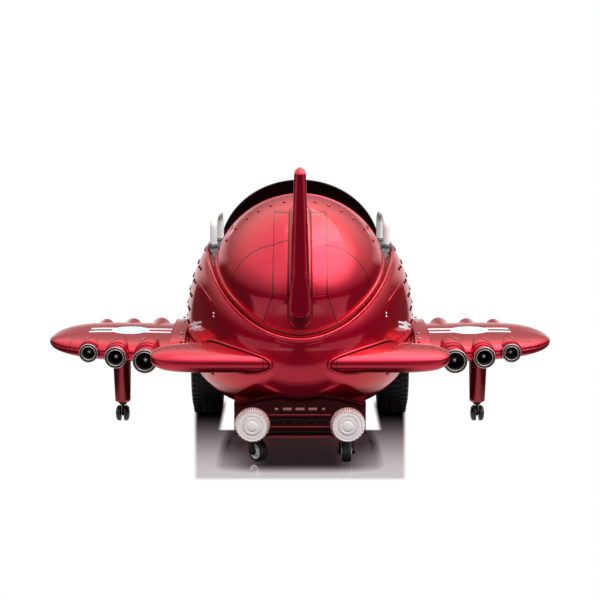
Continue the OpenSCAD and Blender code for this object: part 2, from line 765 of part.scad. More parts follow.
bumper_front = -404;
bumper_wall = 4;
boss_r = 15;
fork_stem_r = 6;
fork_stem_len = 30;
lamp_hole_r = 24;
bumper_cols = 8;
bumper_lines = 8;
function bumper_top(x, y) = min(bumper_top_z + 26 * (1 - pow(x / bumper_half_w, 2)), belly_z(x, y) - 3 * seam);
module bumper_block() {
    xs = [for (i = [0 : bumper_cols]) mix(-bumper_half_w, bumper_half_w, i / bumper_cols)];
    ys = [for (i = [0 : bumper_lines]) mix(bumper_y, bumper_front, i / bumper_lines)];
    cols = bumper_cols + 1;
    count = cols * (bumper_lines + 1);
    points = concat([for (y = ys) for (x = xs) [x, y, bumper_top(x, y)]], [for (y = ys) for (x = xs) [x, y, bumper_z]]);
    top = [for (f = sheet_faces(bumper_lines + 1, cols)) [f[0], f[2], f[1]]];
    low = [for (f = sheet_faces(bumper_lines + 1, cols)) [f[0] + count, f[1] + count, f[2] + count]];
    edge = concat([for (j = [0 : cols - 1]) j], [for (i = [1 : bumper_lines]) i * cols + cols - 1],
                  [for (j = [cols - 2 : -1 : 0]) bumper_lines * cols + j], [for (i = [bumper_lines - 1 : -1 : 1]) i * cols]);
    n = len(edge);
    side = [
        for (k = [0 : n - 1])
            let (a = edge[k], b = edge[(k + 1) % n])
            for (face = [[a, b, b + count], [a, b + count, a + count]]) face,
    ];
    polyhedron(points, concat(top, low, side), convexity = 4);
}

slot_w = 17;
slot_h = 7;
slot_step = 25;
slot_rows = [for (rise = [6, 30, 60]) bumper_z + rise];
slot_xs = [for (k = [-2 : 2]) k * slot_step];
module rear_bumper() {
    inner = bumper_half_w - bumper_wall;
    color(dark_red)
        difference() {
            bumper_block();
            difference() {
                translate([-inner, bumper_y + bumper_wall, bumper_z + bumper_wall])
                    cube([2 * inner, bumper_front - bumper_y - 2 * bumper_wall, 200]);
                both_sides()
                    translate([caster_x, caster_y, bumper_z])
                        cylinder(r = boss_r, h = fork_stem_len + 6);
            }
            both_sides() {
                translate([caster_x, caster_y, bumper_z - 1])
                    cylinder(r = fork_stem_r + fit, h = fork_stem_len + 1);
                cylinder_y(lamp_hole_r + slip, bumper_y - 1, bumper_y + bumper_wall + 1, lamp_x, lamp_z);
            }
            for (x = slot_xs, z = slot_rows)
                translate([x - slot_w / 2, bumper_y - 1, z])
                    cube([slot_w, bumper_wall + 2, slot_h]);
        }
}

grille_half_w = 2 * slot_step + slot_w / 2 + 4;
grille_t = 3;
module bumper_grille() {
    color(black)
        translate([-grille_half_w, bumper_y + bumper_wall, bumper_z + bumper_wall + touch])
            cube([2 * grille_half_w, grille_t, slot_rows[2] + slot_h + 2 - bumper_z - bumper_wall - touch]);
}

ring_t = 5;
lamp_plug = 26;     // length of the lamp's body inside the bumper
module lamp_housings() {
    color(black)
        both_sides() {
            cylinder_y(lamp_r + 2, bumper_y - ring_t, bumper_y, lamp_x, lamp_z);
            cylinder_y(lamp_hole_r, bumper_y, bumper_y + lamp_plug, lamp_x, lamp_z);
        }
}

module lamp_lenses() {
    rear = bumper_y - ring_t;
    color(pearl)
        both_sides()
            translate([lamp_x, rear, lamp_z])
                rotate([90, 0, 0])
                    rotate_extrude()
                        polygon([[0, 0], [lamp_r, 0], [lamp_r, lamp_depth - 8], [lamp_r - 3, lamp_depth - 4],
                                 [lamp_r - 9, lamp_depth - 1.5], [14, lamp_depth], [12, lamp_depth + 1], [0, lamp_depth + 1]]);
}

// Rear casters. They are drawn at the swivel and turned by their angle at rest.

caster_trail = 16;
fork_arm_t = 4;
fork_gap = 1;
fork_top_z = bumper_z - 0.5;
caster_pin_r = 3.5;
module fork(turn, side) {
    translate([side * caster_x, caster_y, 0])
        rotate([0, 0, turn]) {
            difference() {
                union() {
                    translate([0, 0, fork_top_z - 5]) cylinder(r = boss_r + 2, h = 5);
                    translate([0, 0, fork_top_z]) cylinder(r = fork_stem_r, h = fork_stem_len - 3);
                    for (s = [-1, 1])
                        translate([s * (caster_w / 2 + fork_gap + fork_arm_t / 2) - fork_arm_t / 2, 0, 0])
                            rotate([90, 0, 90])
                                linear_extrude(fork_arm_t)
                                    polygon([[-9, fork_top_z - 2], [9, fork_top_z - 2], [-caster_trail + 8, caster_r - 2],
                                             [-caster_trail + 4, caster_r - 8], [-caster_trail - 4, caster_r - 8],
                                             [-caster_trail - 8, caster_r - 2]]);
                }
                cylinder_x(caster_pin_r, -40, 40, -caster_trail, caster_r);
            }
            cylinder_x(caster_pin_r, -caster_w / 2 - fork_gap - fork_arm_t, caster_w / 2 + fork_gap + fork_arm_t,
                       -caster_trail, caster_r);
        }
}

module caster_wheel(turn, side) {
    translate([side * caster_x, caster_y, 0])
        rotate([0, 0, turn])
            translate([-caster_w / 2, -caster_trail, caster_r])
                rotate([0, 90, 0])
                    rotate_extrude()
                        polygon([[caster_pin_r + fit, 0], [14, 0], [15, 2], [caster_r - 5, 2], [caster_r, 6],
                                 [caster_r, caster_w - 6], [caster_r - 5, caster_w - 2], [15, caster_w - 2],
                                 [14, caster_w], [caster_pin_r + fit, caster_w]]);
}

module left_rear_fork() { color(black) fork(caster_turn, -1); }
module right_rear_fork() { color(black) fork(0, 1); }
module left_rear_wheel() { color(black) caster_wheel(caster_turn, -1); }
module right_rear_wheel() { color(black) caster_wheel(0, 1); }

// Wing casters: twin wheels on a stem

twin_trail = 7;
twin_w = 13;
twin_web = 7;
module wing_fork(side) {
    axis_z = twin_lift + twin_r;
    translate([side * leg_x, leg_y, 0]) {
        translate([0, 0, leg_foot_z - 6]) cylinder(r = stem_r, h = 6 + stem_depth - 3);
        translate([0, 0, leg_foot_z - 6]) cylinder(r = 9, h = 5);
        difference() {
            hull() {
                translate([0, 0, leg_foot_z - 8]) cylinder(r = twin_web / 2, h = 7);
                cylinder_x(6, -twin_web / 2, twin_web / 2, -twin_trail, axis_z);
            }
            cylinder_x(pin_r, -twin_web, twin_web, -twin_trail, axis_z);
        }
        cylinder_x(pin_r, -twin_web / 2 - twin_w, twin_web / 2 + twin_w, -twin_trail, axis_z);
    }
}

module wing_wheels(side) {
    translate([side * leg_x, leg_y - twin_trail, twin_lift + twin_r])
        for (s = [-1, 1])
            rotate([0, 90 * s, 0])
                translate([0, 0, twin_web / 2 + 0.5])
                    rotate_extrude()
                        polygon([[pin_r + fit, 0], [twin_r - 2, 0], [twin_r, 3], [twin_r - 0.6, 7],
                                 [twin_r - 4, 11], [twin_r - 9, twin_w], [pin_r + fit, twin_w]]);
}

module left_wing_fork() { color(black) wing_fork(-1); }
module right_wing_fork() { color(black) wing_fork(1); }
module left_wing_wheels() { color(black) wing_wheels(-1); }
module right_wing_wheels() { color(black) wing_wheels(1); }

// Front wheels

rim_r = 78;
module tyre() {
    translate([wheel_x - wheel_w / 2, axle_y, wheel_r])
        rotate([0, 90, 0])
            rotate_extrude($fa = 3)
                polygon([[rim_r, 6], [rim_r + 10, 1], [wheel_r - 22, 0], [wheel_r - 8, 4], [wheel_r - 1, 14],
                         [wheel_r, 20], [wheel_r, wheel_w - 20], [wheel_r - 1, wheel_w - 14], [wheel_r - 8, wheel_w - 4],
                         [wheel_r - 22, wheel_w], [rim_r + 10, wheel_w - 1], [rim_r, wheel_w - 6]]);
}

module rim() {
    bore_end = axle_end_x - (wheel_x - wheel_w / 2) + 1;
    translate([wheel_x - wheel_w / 2, axle_y, wheel_r])
        rotate([0, 90, 0])
            difference() {
                rotate_extrude($fa = 3)
                    polygon([[0, 2], [24, 2], [24, 24], [52, 30], [rim_r - 5, 24], [rim_r - 5, 3], [rim_r, 3],
                             [rim_r, wheel_w - 3], [rim_r - 5, wheel_w - 3], [rim_r - 8, wheel_w - 22],
                             [40, wheel_w - 14], [26, wheel_w - 4], [0, wheel_w - 1]]);
                translate([0, 0, 1]) cylinder(r = axle_r + fit, h = bore_end - 1);
            }
}

module right_front_tyre() { color(black) tyre(); }
module right_front_rim() { color(silver) rim(); }
module left_front_tyre() { mirror([1, 0, 0]) right_front_tyre(); }
module left_front_rim() { mirror([1, 0, 0]) right_front_rim(); }

// Nose

cowl_y = nose_y + cowl_len;
module nose_cowl() {
    r = nose_r;
    color(red)
        translate([0, nose_y + seam, hull_z])
            rotate([-90, 0, 0])
                rotate_extrude($fa = 4)
                    polygon([[r - wall - 14, 0], [r, 0], [r - 1, cowl_len * 0.35], [r - 8, cowl_len * 0.72],
                             [r - 18, cowl_len * 0.92], [r - 28, cowl_len], [intake_r + 4, cowl_len],
                             [intake_r, cowl_len - 6], [intake_r, 16], [r - wall - 14, 16]]);
}

face_y = nose_y + 18;
face_t = 6;
crank_r = 0.35 * intake_r;      // crankcase
crank_len = 14;
jug_r = 0.38 * intake_r;        // distance of a cylinder's foot from the middle
jug_len = 0.47 * intake_r;
jug_w = 0.176 * intake_r;
jug_t = 12;
module engine_face() {
    color(black)
        difference() {
            union() {
                cylinder_y(intake_r - slip, face_y, face_y + face_t, 0, hull_z);
                cylinder_y(crank_r, face_y + face_t, face_y + face_t + crank_len, 0, hull_z);
                for (a = [0 : 40 : 320])
                    translate([0, face_y + face_t, hull_z])
                        rotate([0, a, 0])
                            translate([-jug_w / 2, 0, jug_r]) cube([jug_w, jug_t, jug_len]);
            }
            cylinder_y(shaft_r + 3, face_y - 1, face_y + 30, 0, hull_z);
        }
}

prop_y = cowl_y + 18;
hub_len = 26;
module propeller_motor() {
    color(steel) {
        cylinder_y(24, face_y - 46, face_y, 0, hull_z);
        cylinder_y(shaft_r, face_y, prop_y + hub_len / 2 - 3, 0, hull_z);
    }
}

module propeller() {
    blade_mid = (prop_r + 26) / 2;
    color(black)
        difference() {
            union() {
                cylinder_y(30, prop_y - hub_len / 2, prop_y + hub_len / 2, 0, hull_z);
                for (a = [0, 120, 240])
                    translate([0, prop_y, hull_z])
                        rotate([0, a, 0])
                            translate([0, 0, blade_mid])
                                rotate([0, 0, 24])
                                    rotate([90, 0, 0])
                                        translate([0, 0, -3])
                                            scale([0.36, 1, 1])
                                                cylinder(r = (prop_r - 26) / 2, h = 6, $fa = 4);
            }
            cylinder_y(shaft_r + slip, prop_y - hub_len, prop_y + hub_len / 2 - 2, 0, hull_z);
        }
}

spinner_y = prop_y + hub_len / 2;
module spinner() {
    length = spinner_tip_y - spinner_y;
    color(silver)
        translate([0, spinner_y, hull_z])
            rotate([-90, 0, 0])
                rotate_extrude()
                    polygon(concat([[0, 0]], [for (a = [0 : 10 : 90]) [spinner_r * cos(a), length * sin(a)]]));
}

// Hood, windshield, dashboard

function hood_base_x(y, d = 0) = hull_x(y, nose_rim(y)) - 6 + d;
function hood_top(y) = mix(hood_top_z, hull_z + nose_r, pow((y - hood_y) / (nose_y - hood_y), 1.4));
// Height of the hood's surface over a point of the plan, d outside it.
function hood_z(x, y, d = 0) =
    let (foot = nose_rim(y) + seam, mid = foot - 30, up = hood_top(y) + d - mid,
         low = sqrt(1 - pow(30 / up, 2)), share = min(1, abs(x) / hood_base_x(y, d)) * low)
    mid + up * sqrt(max(0, 1 - pow(share, 2)));
hood_cols = 22;
function hood_line(y, d) = [
    for (i = [0 : hood_cols])
        let (a = 180 * i / hood_cols, x = hood_base_x(y, d) * cos(a))
        [x, y, hood_z(x, y, d)],
];
hood_stations = [for (i = [0 : 10]) mix(hood_y, nose_y, i / 10)];
module front_hood() {
    rings = [
        for (y = hood_stations)
            concat(hood_line(y, 0), [for (i = [hood_cols : -1 : 0]) hood_line(y, -wall)[i]]),
    ];
    color(red) loft(rings, sheet = true);
}

shield_cols = 20;
shield_t = 3;
shield_lean = 20;
// Foot and top edge of the windshield by the angle in plan, d outside the sheet.
function shield_foot(a, d) =
    let (x = (windshield_half_w + d) * cos(a), y = hood_y + 12 + (windshield_foot_y - hood_y - 12 + d) * sin(a))
    [x, y, hood_z(x, y, 0) + 2 * touch];
function shield_top(a, d) =
    let (foot_z = nose_rim(hood_y + 12) + 16, mid = 400, up = windshield_top_z + d - mid,
         low = asin((foot_z - mid) / up), b = mix(low, 180 - low, a / 180))
    [(windshield_half_w + d + 1) * cos(b) / cos(low), hood_y + 4 + shield_lean * (1 - sin(b)) / 2, mid + up * sin(b)];
function shield_mid(a, d) =
    let (f = shield_foot(a, d), t = shield_top(a, d), m = mix(f, t, 0.5))
    [m[0] * 1.02, m[1] + 10 * sin(a), m[2] + 10 * sin(a)];
module windshield() {
    rings = [
        for (i = [0 : shield_cols])
            let (a = 180 * i / shield_cols)
            [shield_foot(a, 0), shield_mid(a, 0), shield_top(a, 0),
             shield_top(a, -shield_t), shield_mid(a, -shield_t), shield_foot(a, -shield_t)],
    ];
    color(black) loft(rings, sheet = true);
}

tub_t = 3;
flange_t = 2.5;
function tub_rim(y) = rim_at(hull_x(y, rim_z), y) + seam;
// Half width between the tub's walls at their top, which pass inside the ledge.
function tub_side(y) = min(tub_half_w + 22, hull_x(y, tub_rim(y)) - ledge_w - tub_t - 3 * seam);
tub_knee = 30;      // height over the floor at which the tub's walls start to rise straight
// Half width of the tub at a height.
function tub_wall(y, z) =
    mix(tub_half_w + 4, tub_side(y), (z - floor_z - tub_knee) / (tub_rim(y) + flange_t - floor_z - tub_knee));

dash_y = hood_y - 42;
dash_depth = 36;
dash_low = 332;
console_top = 342;
console_t = 30;
dash_half_w = min(tub_side(dash_y + dash_depth), tub_wall(dash_y + dash_depth, console_top - console_t)) - 2 * slip;
console_x = stick_x - stick_inset - 16;
console_rear = 6;
button_xs = [-46, 46];
button_z = 404;
switch_size = [22, 14, 34];
module dashboard() {
    xs = [for (i = [0 : 12]) mix(-dash_half_w, dash_half_w, i / 12)];
    color(dark_grey)
        difference() {
            union() {
                translate([0, dash_y + dash_depth, 0])
                    rotate([90, 0, 0])
                        linear_extrude(dash_depth)
                            polygon(concat([[dash_half_w, dash_low], [-dash_half_w, dash_low]],
                                           [for (x = xs) [x, hood_z(x, hood_y, -wall) - 4]]));
                both_sides()
                    translate([console_x, console_rear, console_top - console_t])
                        cube([dash_half_w - console_x, dash_y - console_rear, console_t]);
            }
            for (x = button_xs)
                cylinder_y(button_r + slip, dash_y - 1, dash_y + 16, x, button_z);
            translate([-switch_size[0] / 2 - slip, dash_y - 1, button_z - switch_size[2] / 2 - slip])
                cube([switch_size[0] + 2 * slip, switch_size[1] + 1, switch_size[2] + 2 * slip]);
            translate([socket_x, socket_y, console_top - socket_len - 1])
                cylinder(r = socket_hole_r + slip, h = socket_len + 2);
        }
}

// Charging socket, in the top of the left console
socket_hole_r = 9;
socket_lip_r = 12;
socket_lip_t = 2;
socket_len = 19;
socket_x = -(console_x + dash_half_w) / 2;
socket_y = dash_y - socket_lip_r - 7;
socket_depth = 12;
module charging_socket() {
    color(black)
        translate([socket_x, socket_y, console_top])
            difference() {
                union() {
                    translate([0, 0, -socket_len]) cylinder(r = socket_hole_r, h = socket_len);
                    cylinder(r = socket_lip_r, h = socket_lip_t);
                }
                translate([0, 0, -socket_depth]) cylinder(r = socket_r, h = socket_depth + socket_lip_t + 1);
            }
}

module button(x) {
    cylinder_y(button_r, dash_y - button_travel - 2, dash_y + 10, x, button_z);
}
module start_button() { color("green") button(button_xs[1]); }
module horn_button() { color("gold") button(button_xs[0]); }

module power_switch() {
    color(black)
        translate([0, dash_y + 6, button_z])
            rotate([0, 90, 0])
                linear_extrude(switch_size[0], center = true)
                    polygon([[-16, -8], [0, -5], [16, -10], [15, 0], [3, 5], [-3, 5], [-15, 0]]);
}

// Cockpit

tub_front_z = 400;  // height of the tub's walls under the hood's rear edge
tub_end_z = 356;    // and at the tub's front end
tub_end_y = hood_y + 170;
tub_taper = 22;
tub_stations = [deck_y + 6, -160, -100, -40, 30, 90, hood_y - 4, hood_y + 4, 200, 260, tub_end_y];
function tub_ring(y) =
    let (front = y > hood_y,
         rim = tub_rim(y),
         ahead = (y - hood_y) / (tub_end_y - hood_y),
         top = front ? mix(tub_front_z, tub_end_z, ahead) : rim + flange_t,
         narrow = front ? tub_taper * ahead : 0,
         side = tub_side(min(y, hood_y)) - narrow,
         edge = y < 60 ? hull_x(y, rim) - 10 : side + tub_t + seam,
         low = tub_half_w - narrow,
         right = [[edge, top], [side, top], [low + 4, floor_z + tub_knee], [low - 16, floor_z + tub_t], [0, floor_z + tub_t]],
         under = [[0, floor_z], [low - 16, floor_z], [low + 4 + tub_t, floor_z + tub_knee], [side + tub_t, top - flange_t],
                  [edge, top - flange_t]])
    concat([for (p = right) [p[0], y, p[1]]], [for (k = [3 : -1 : 0]) [-right[k][0], y, right[k][1]]],
           [for (k = [4 : -1 : 1]) [-under[k][0], y, under[k][1]]], [for (p = under) [p[0], y, p[1]]]);

module cockpit_tub() {
    color(dark_grey) loft([for (y = tub_stations) tub_ring(y)], sheet = true);
}

bulkhead_t = 4;
bulkhead_w = tub_half_w + 22;
bulkhead_low_w = tub_half_w - 18;
module rear_bulkhead() {
    low = rim_at(deck_r - 11, deck_y) + 2;
    r = deck_r - wall - 3 * seam;
    foot = asin((low - deck_z) / r);
    color(black)
        translate([0, deck_y - 4, 0])
            rotate([90, 0, 0])
                linear_extrude(bulkhead_t)
                    polygon(concat(
                        [for (a = [0 : 7.5 : 180])
                            let (b = mix(foot, 180 - foot, a / 180))
                            [r * cos(b), deck_z + r * sin(b)]],
                        [[-bulkhead_w, low], [-bulkhead_low_w, floor_z + 8],
                         [bulkhead_low_w, floor_z + 8], [bulkhead_w, low]]));
}

seat_rear = deck_y + 8;
back_t = 34;
module seat() {
    under = floor_z + tub_t;
    profile = [[seat_rear, under], [36, under], [44, under + 14], [44, seat_z - 10], [36, seat_z + 2], [10, seat_z + 2],
               [-60, seat_z - 8], [seat_rear + back_t + 40, seat_z - 4], [seat_rear + back_t + 14, seat_z + 22],
               [seat_rear + back_t, seat_top_z - 60], [seat_rear + back_t - 8, seat_top_z - 12],
               [seat_rear + back_t - 18, seat_top_z], [seat_rear + 4, seat_top_z], [seat_rear, seat_top_z - 8]];
    bolster = [[seat_rear, under], [36, under], [44, under + 14], [44, seat_z], [32, seat_z + 22], [-60, seat_z + 26],
               [seat_rear + back_t + 60, seat_z + 52], [seat_rear + back_t + 34, seat_z + 110],
               [seat_rear + back_t + 22, seat_top_z - 130], [seat_rear + back_t, seat_top_z - 96],
               [seat_rear + 4, seat_top_z - 92], [seat_rear, seat_top_z - 96]];
    bolster_w = 26;
    color(black) {
        rotate([90, 0, 90])
            linear_extrude(2 * (seat_half_w - bolster_w), center = true)
                polygon(profile);
        both_sides()
            translate([seat_half_w - bolster_w, 0, 0])
                rotate([90, 0, 90])
                    linear_extrude(bolster_w)
                        polygon(bolster);
    }
}

belt_y = -46;
belt_w = 30;
buckle_size = [44, 34, 10];
function seat_surface(y) = y < -60
    ? mix(seat_z - 4, seat_z - 8, (y - (seat_rear + back_t + 40)) / (-60 - (seat_rear + back_t + 40)))
    : mix(seat_z - 8, seat_z + 2, (y + 60) / 70);
module lap_belt() {
    color(black)
        both_sides()
            translate([0, 0, seat_surface(belt_y + belt_w / 2) + touch])
                translate([buckle_size[0] / 2, belt_y - belt_w / 2, 0])
                    cube([seat_half_w - 28 - buckle_size[0] / 2, belt_w, 2.2]);
}

module belt_buckle() {
    color(black)
        translate([-buckle_size[0] / 2, belt_y - buckle_size[1] / 2, seat_surface(belt_y + buckle_size[1] / 2) + touch])
            cube(buckle_size);
}

// Grab handles stand on the tub's flange
handle_rear = -142;
handle_x = hull_half_w - 69;
handle_bend = 26;
function handle_foot_z(y) = tub_rim(y) + flange_t + touch;
module right_grab_handle() {
    low = max(handle_foot_z(handle_rear), handle_foot_z(handle_rear + handle_len));
    top = low + handle_h;
    turn = 5;
    color(pearl)
        translate([handle_x, handle_rear, 0])
            rotate([0, 0, turn]) {
                for (y = [0, handle_len])
                    translate([0, y, low]) {
                        cylinder(r = handle_r + 5, h = 6);
                        cylinder(r = handle_r, h = handle_h - handle_bend);
                    }
                for (s = [0, 1])
                    translate([0, s * handle_len + (s == 0 ? handle_bend : -handle_bend), top - handle_bend])
                        rotate([90, 0, s == 0 ? -90 : 90])
                            rotate_extrude(angle = 90)
                                translate([handle_bend, 0])
                                    circle(r = handle_r);
                cylinder_y(handle_r, handle_bend, handle_len - handle_bend, 0, top);
            }
}
module left_grab_handle() { mirror([1, 0, 0]) right_grab_handle(); }

// Joysticks

base_h = 24;
base_w = 44;
slot_half = 17;
pivot_z = console_top + 12;
lug_w = 12;
module joystick_bases() {
    color(dark_grey)
        both_sides()
            translate([stick_x, stick_y, console_top])
                difference() {
                    translate([-base_w / 2, -base_w / 2, 0]) cube([base_w, base_w, base_h]);
                    translate([-lug_w / 2 - slip, -slot_half, 2]) cube([lug_w + 2 * slip, 2 * slot_half, base_h]);
                    cylinder_x(pin_r + fit, -base_w / 2 + 4, base_w / 2 - 4, 0, pivot_z - console_top);
                }
}

module joystick() {
    translate([stick_x, stick_y, pivot_z]) {
        difference() {
            cylinder_x(8, -lug_w / 2, lug_w / 2, 0, 0);
            cylinder_x(pin_r, -lug_w, lug_w, 0, 0);
        }
        cylinder_x(pin_r, -base_w / 2 + 6, base_w / 2 - 6, 0, 0);
        translate([0, 0, 6]) cylinder(r = 5.5, h = 34);
        translate([0, 0, 38])
            rotate_extrude()
                polygon([[0, 0], [12, 0], [14, 6], [13, 22], [15, 40], [14.5, stick_len - 48], [11, stick_len - 41],
                         [0, stick_len - 38]]);
    }
}
module right_joystick() { color(black) joystick(); }
module left_joystick() { mirror([1, 0, 0]) right_joystick(); }

screw_r = 2.5;
head_r = 5;
head_h = 3;
module body_screws() {
    color(steel)
        both_sides() {
            for (p = posts)
                translate([p[0], p[1], pan_top]) {
                    cylinder(r = head_r, h = head_h);
                    translate([0, 0, -pan_t - screw_reach]) cylinder(r = screw_r, h = pan_t + screw_reach);
                }
            for (y = [bumper_y + 14, bumper_front - 12])
                translate([bumper_half_w - 20, y, bumper_z - head_h])
                    cylinder(r = head_r, h = head_h);
        }
}

lower_hull();
chassis_pan();
wheel_liners();
front_hood();
tail_deck();
nose_cowl();
engine_face();
propeller_motor();
windshield();
dashboard();
cockpit_tub();
rear_bulkhead();
seat();
lap_belt();
belt_buckle();
left_grab_handle();
right_grab_handle();
left_wing();
right_wing();
wing_roots();
nozzle_rings();
nozzle_cores();
wing_legs();
left_stabilizer();
right_stabilizer();
tail_fin();
fin_fairing();
rear_bumper();
bumper_grille();
lamp_housings();
lamp_lenses();
front_axle();
drive_gearboxes();
drive_motors();
battery();
control_unit();
joystick_bases();
charging_socket();
body_screws();
left_front_tyre();
left_front_rim();
right_front_tyre();
right_front_rim();
left_rear_fork();
left_rear_wheel();
right_rear_fork();
right_rear_wheel();
left_wing_fork();
left_wing_wheels();
right_wing_fork();
right_wing_wheels();
propeller();
spinner();
left_joystick();
right_joystick();
start_button();
horn_button();
power_switch();
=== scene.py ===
"""Looks of an electric ride-on toy airplane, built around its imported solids.

Sizes are in millimetres in the airplane's own frame: +Y points to the nose, +Z up, the ground is z = 0.
"""
import json
from functools import reduce
from math import acos, asin, atan2, cos, hypot, pi, radians, sin, sqrt

import bmesh
import bpy
import numpy as np
from mathutils import Matrix, Vector
from numpy import linspace

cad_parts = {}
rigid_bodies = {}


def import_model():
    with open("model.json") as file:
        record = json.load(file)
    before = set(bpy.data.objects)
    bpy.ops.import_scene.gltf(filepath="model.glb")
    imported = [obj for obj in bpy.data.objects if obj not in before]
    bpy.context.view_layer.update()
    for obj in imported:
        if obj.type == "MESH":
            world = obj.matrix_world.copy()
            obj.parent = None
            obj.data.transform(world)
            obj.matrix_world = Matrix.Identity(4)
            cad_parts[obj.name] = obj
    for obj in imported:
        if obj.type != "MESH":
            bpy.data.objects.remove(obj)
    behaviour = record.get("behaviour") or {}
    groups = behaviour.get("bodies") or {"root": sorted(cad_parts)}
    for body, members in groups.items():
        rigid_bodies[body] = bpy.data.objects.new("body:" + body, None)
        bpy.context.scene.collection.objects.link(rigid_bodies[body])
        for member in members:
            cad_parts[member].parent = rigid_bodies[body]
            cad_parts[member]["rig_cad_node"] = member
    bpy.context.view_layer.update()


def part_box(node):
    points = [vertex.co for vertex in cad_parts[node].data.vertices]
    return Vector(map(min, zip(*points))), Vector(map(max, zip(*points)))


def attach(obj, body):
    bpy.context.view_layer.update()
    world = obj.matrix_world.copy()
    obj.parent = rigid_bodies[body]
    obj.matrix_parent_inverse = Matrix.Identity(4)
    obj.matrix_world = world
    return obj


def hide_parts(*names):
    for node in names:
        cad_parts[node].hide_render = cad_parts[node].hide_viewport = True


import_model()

MM = 0.001
MERGE = 0.00002
SCENE = bpy.context.scene


# Camera, at the photograph's viewing angle

CAMERA_PITCH = 10.14
camera_data = bpy.data.cameras.new("camera")
camera_data.lens = 84.0
camera = bpy.data.objects.new("camera", camera_data)
camera.location = (0, -3.5882, 0.93431)
camera.rotation_euler = (radians(90 - CAMERA_PITCH), 0, 0)
SCENE.collection.objects.link(camera)
SCENE.camera = camera


# Numbers of the fuselage

HULL_HALF_W, HULL_Z, HULL_Y = 283.0, 271.0, -100.0
HULL_UP, HULL_DOWN = 315.0, 195.0
TAIL_LEN, NOSE_LEN, NOSE_Y = 457.0, 670.0, 400.0
WALL = 4.0
RIM_Z, RIM_TAIL_Z, RIM_NOSE_Z = 448.0, 302.0, 298.0
LEDGE_W = 34.0
SEAM = 0.6
DECK_Y, DECK_Z, DECK_R, DECK_LEN = -200.0, 375.0, 215.0, 333.0
HOOD_Y, HOOD_TOP_Z = 150.0, 500.0
AXLE_Y, WHEEL_R, WHEEL_X, WHEEL_W = -20.0, 120.0, 239.0, 76.0
ARCH_R = WHEEL_R + 16
NOSE_R = HULL_HALF_W * sqrt(1 - ((NOSE_Y - HULL_Y) / NOSE_LEN) ** 2)


def mix(a, b, t):
    return a + (b - a) * t


def clip01(v):
    return np.clip(v, 0, 1)


def rooted(v):
    return np.sqrt(np.maximum(0, v))


def nose_share(y):
    return (y - HULL_Y) / (NOSE_Y - HULL_Y)


def nose_w(y, d=0.0):
    return HULL_HALF_W * rooted(1 - ((y - HULL_Y) / NOSE_LEN) ** 2) - d


def nose_up(y, d=0.0):
    return nose_w(y) * mix(HULL_UP / HULL_HALF_W, 1, nose_share(y)) - d


def nose_down(y, d=0.0):
    return mix(HULL_DOWN, NOSE_R, nose_share(y)) - d


def hull_x(y, z, d=0.0):
    """Half width of the hull at a station and a height, d inside its skin."""
    up = z >= HULL_Z
    if y <= HULL_Y:
        if up:
            level = rooted(1 - ((z - HULL_Z) / (HULL_UP - d)) ** 2)
        else:
            level = max(0, 1 - ((HULL_Z - z) / (HULL_DOWN - d)) ** 3) ** (1 / 3)
        return float((HULL_HALF_W - d) * rooted(level ** 2 - ((HULL_Y - y) / (TAIL_LEN - d)) ** 2))
    if up:
        return float(nose_w(y, d) * rooted(1 - ((z - HULL_Z) / nose_up(y, d)) ** 2))
    n = mix(3, 2, nose_share(y))
    return float(nose_w(y, d) * max(0, 1 - ((HULL_Z - z) / nose_down(y, d)) ** n) ** (1 / n))


def belly_z(x, y, d=0.0):
    r = hypot(x / (HULL_HALF_W - d), (HULL_Y - y) / (TAIL_LEN - d))
    return HULL_Z - (HULL_DOWN - d) * max(0, 1 - r ** 3) ** (1 / 3)


def tail_rim(phi):
    return RIM_TAIL_Z + (RIM_Z - RIM_TAIL_Z) * (1 - abs(sin(phi)) ** 2.6)


def nose_rim(y):
    return RIM_Z - (RIM_Z - RIM_NOSE_Z) * nose_share(y) ** 4


def rim_at(x, y):
    if y > HULL_Y:
        return nose_rim(y)
    return tail_rim(atan2((HULL_Y - y) / TAIL_LEN, abs(x) / HULL_HALF_W))


# Mesh helpers


def link(obj):
    SCENE.collection.objects.link(obj)
    return obj


def mesh_object(name, points, faces=(), edges=()):
    mesh = bpy.data.meshes.new(name)
    mesh.from_pydata((np.asarray(points, float) * MM).tolist(), edges, [list(f) for f in faces])
    mesh.update()
    return link(bpy.data.objects.new(name, mesh))


def grid_faces(rows, cols, loop_rows=False, loop_cols=False):
    """Quads of a sheet of points. A looped direction joins its last line to its first."""
    faces = []
    for i in range(rows if loop_rows else rows - 1):
        for j in range(cols if loop_cols else cols - 1):
            here, there, after = i * cols, (i + 1) % rows * cols, (j + 1) % cols
            faces.append([here + j, here + after, there + after, there + j])
    return faces


def loft_mesh(rings, caps=True):
    """Points and faces of a skin over closed rings of equal length."""
    rings = np.asarray(rings, float)
    rows, cols = rings.shape[:2]
    faces = grid_faces(rows, cols, loop_cols=True)
    if caps:
        faces += [list(range(cols))[::-1], [(rows - 1) * cols + j for j in range(cols)]]
    return rings.reshape(-1, 3), faces


def folded_sheet(rings):
    """Points and faces of a thin wall. Each ring runs along its outside and back along its inside."""
    points, faces = loft_mesh(rings, False)
    cols = len(rings[0])
    for k in (0, (len(rings) - 1) * cols):
        faces += [[k + i, k + i + 1, k + cols - 2 - i, k + cols - 1 - i] for i in range(cols // 2 - 1)]
    return points, faces


def box_mesh(low, high):
    (x0, y0, z0), (x1, y1, z1) = low, high
    corners = (x0, y0), (x1, y0), (x1, y1), (x0, y1)
    return [(x, y, z) for z in (z0, z1) for x, y in corners], [
        (0, 3, 2, 1), (4, 5, 6, 7), (0, 1, 5, 4), (1, 2, 6, 5), (2, 3, 7, 6), (3, 0, 4, 7)]


def turns(count):
    """Angles evenly spaced round a circle."""
    return linspace(0, 2 * pi, count + 1)[:-1]


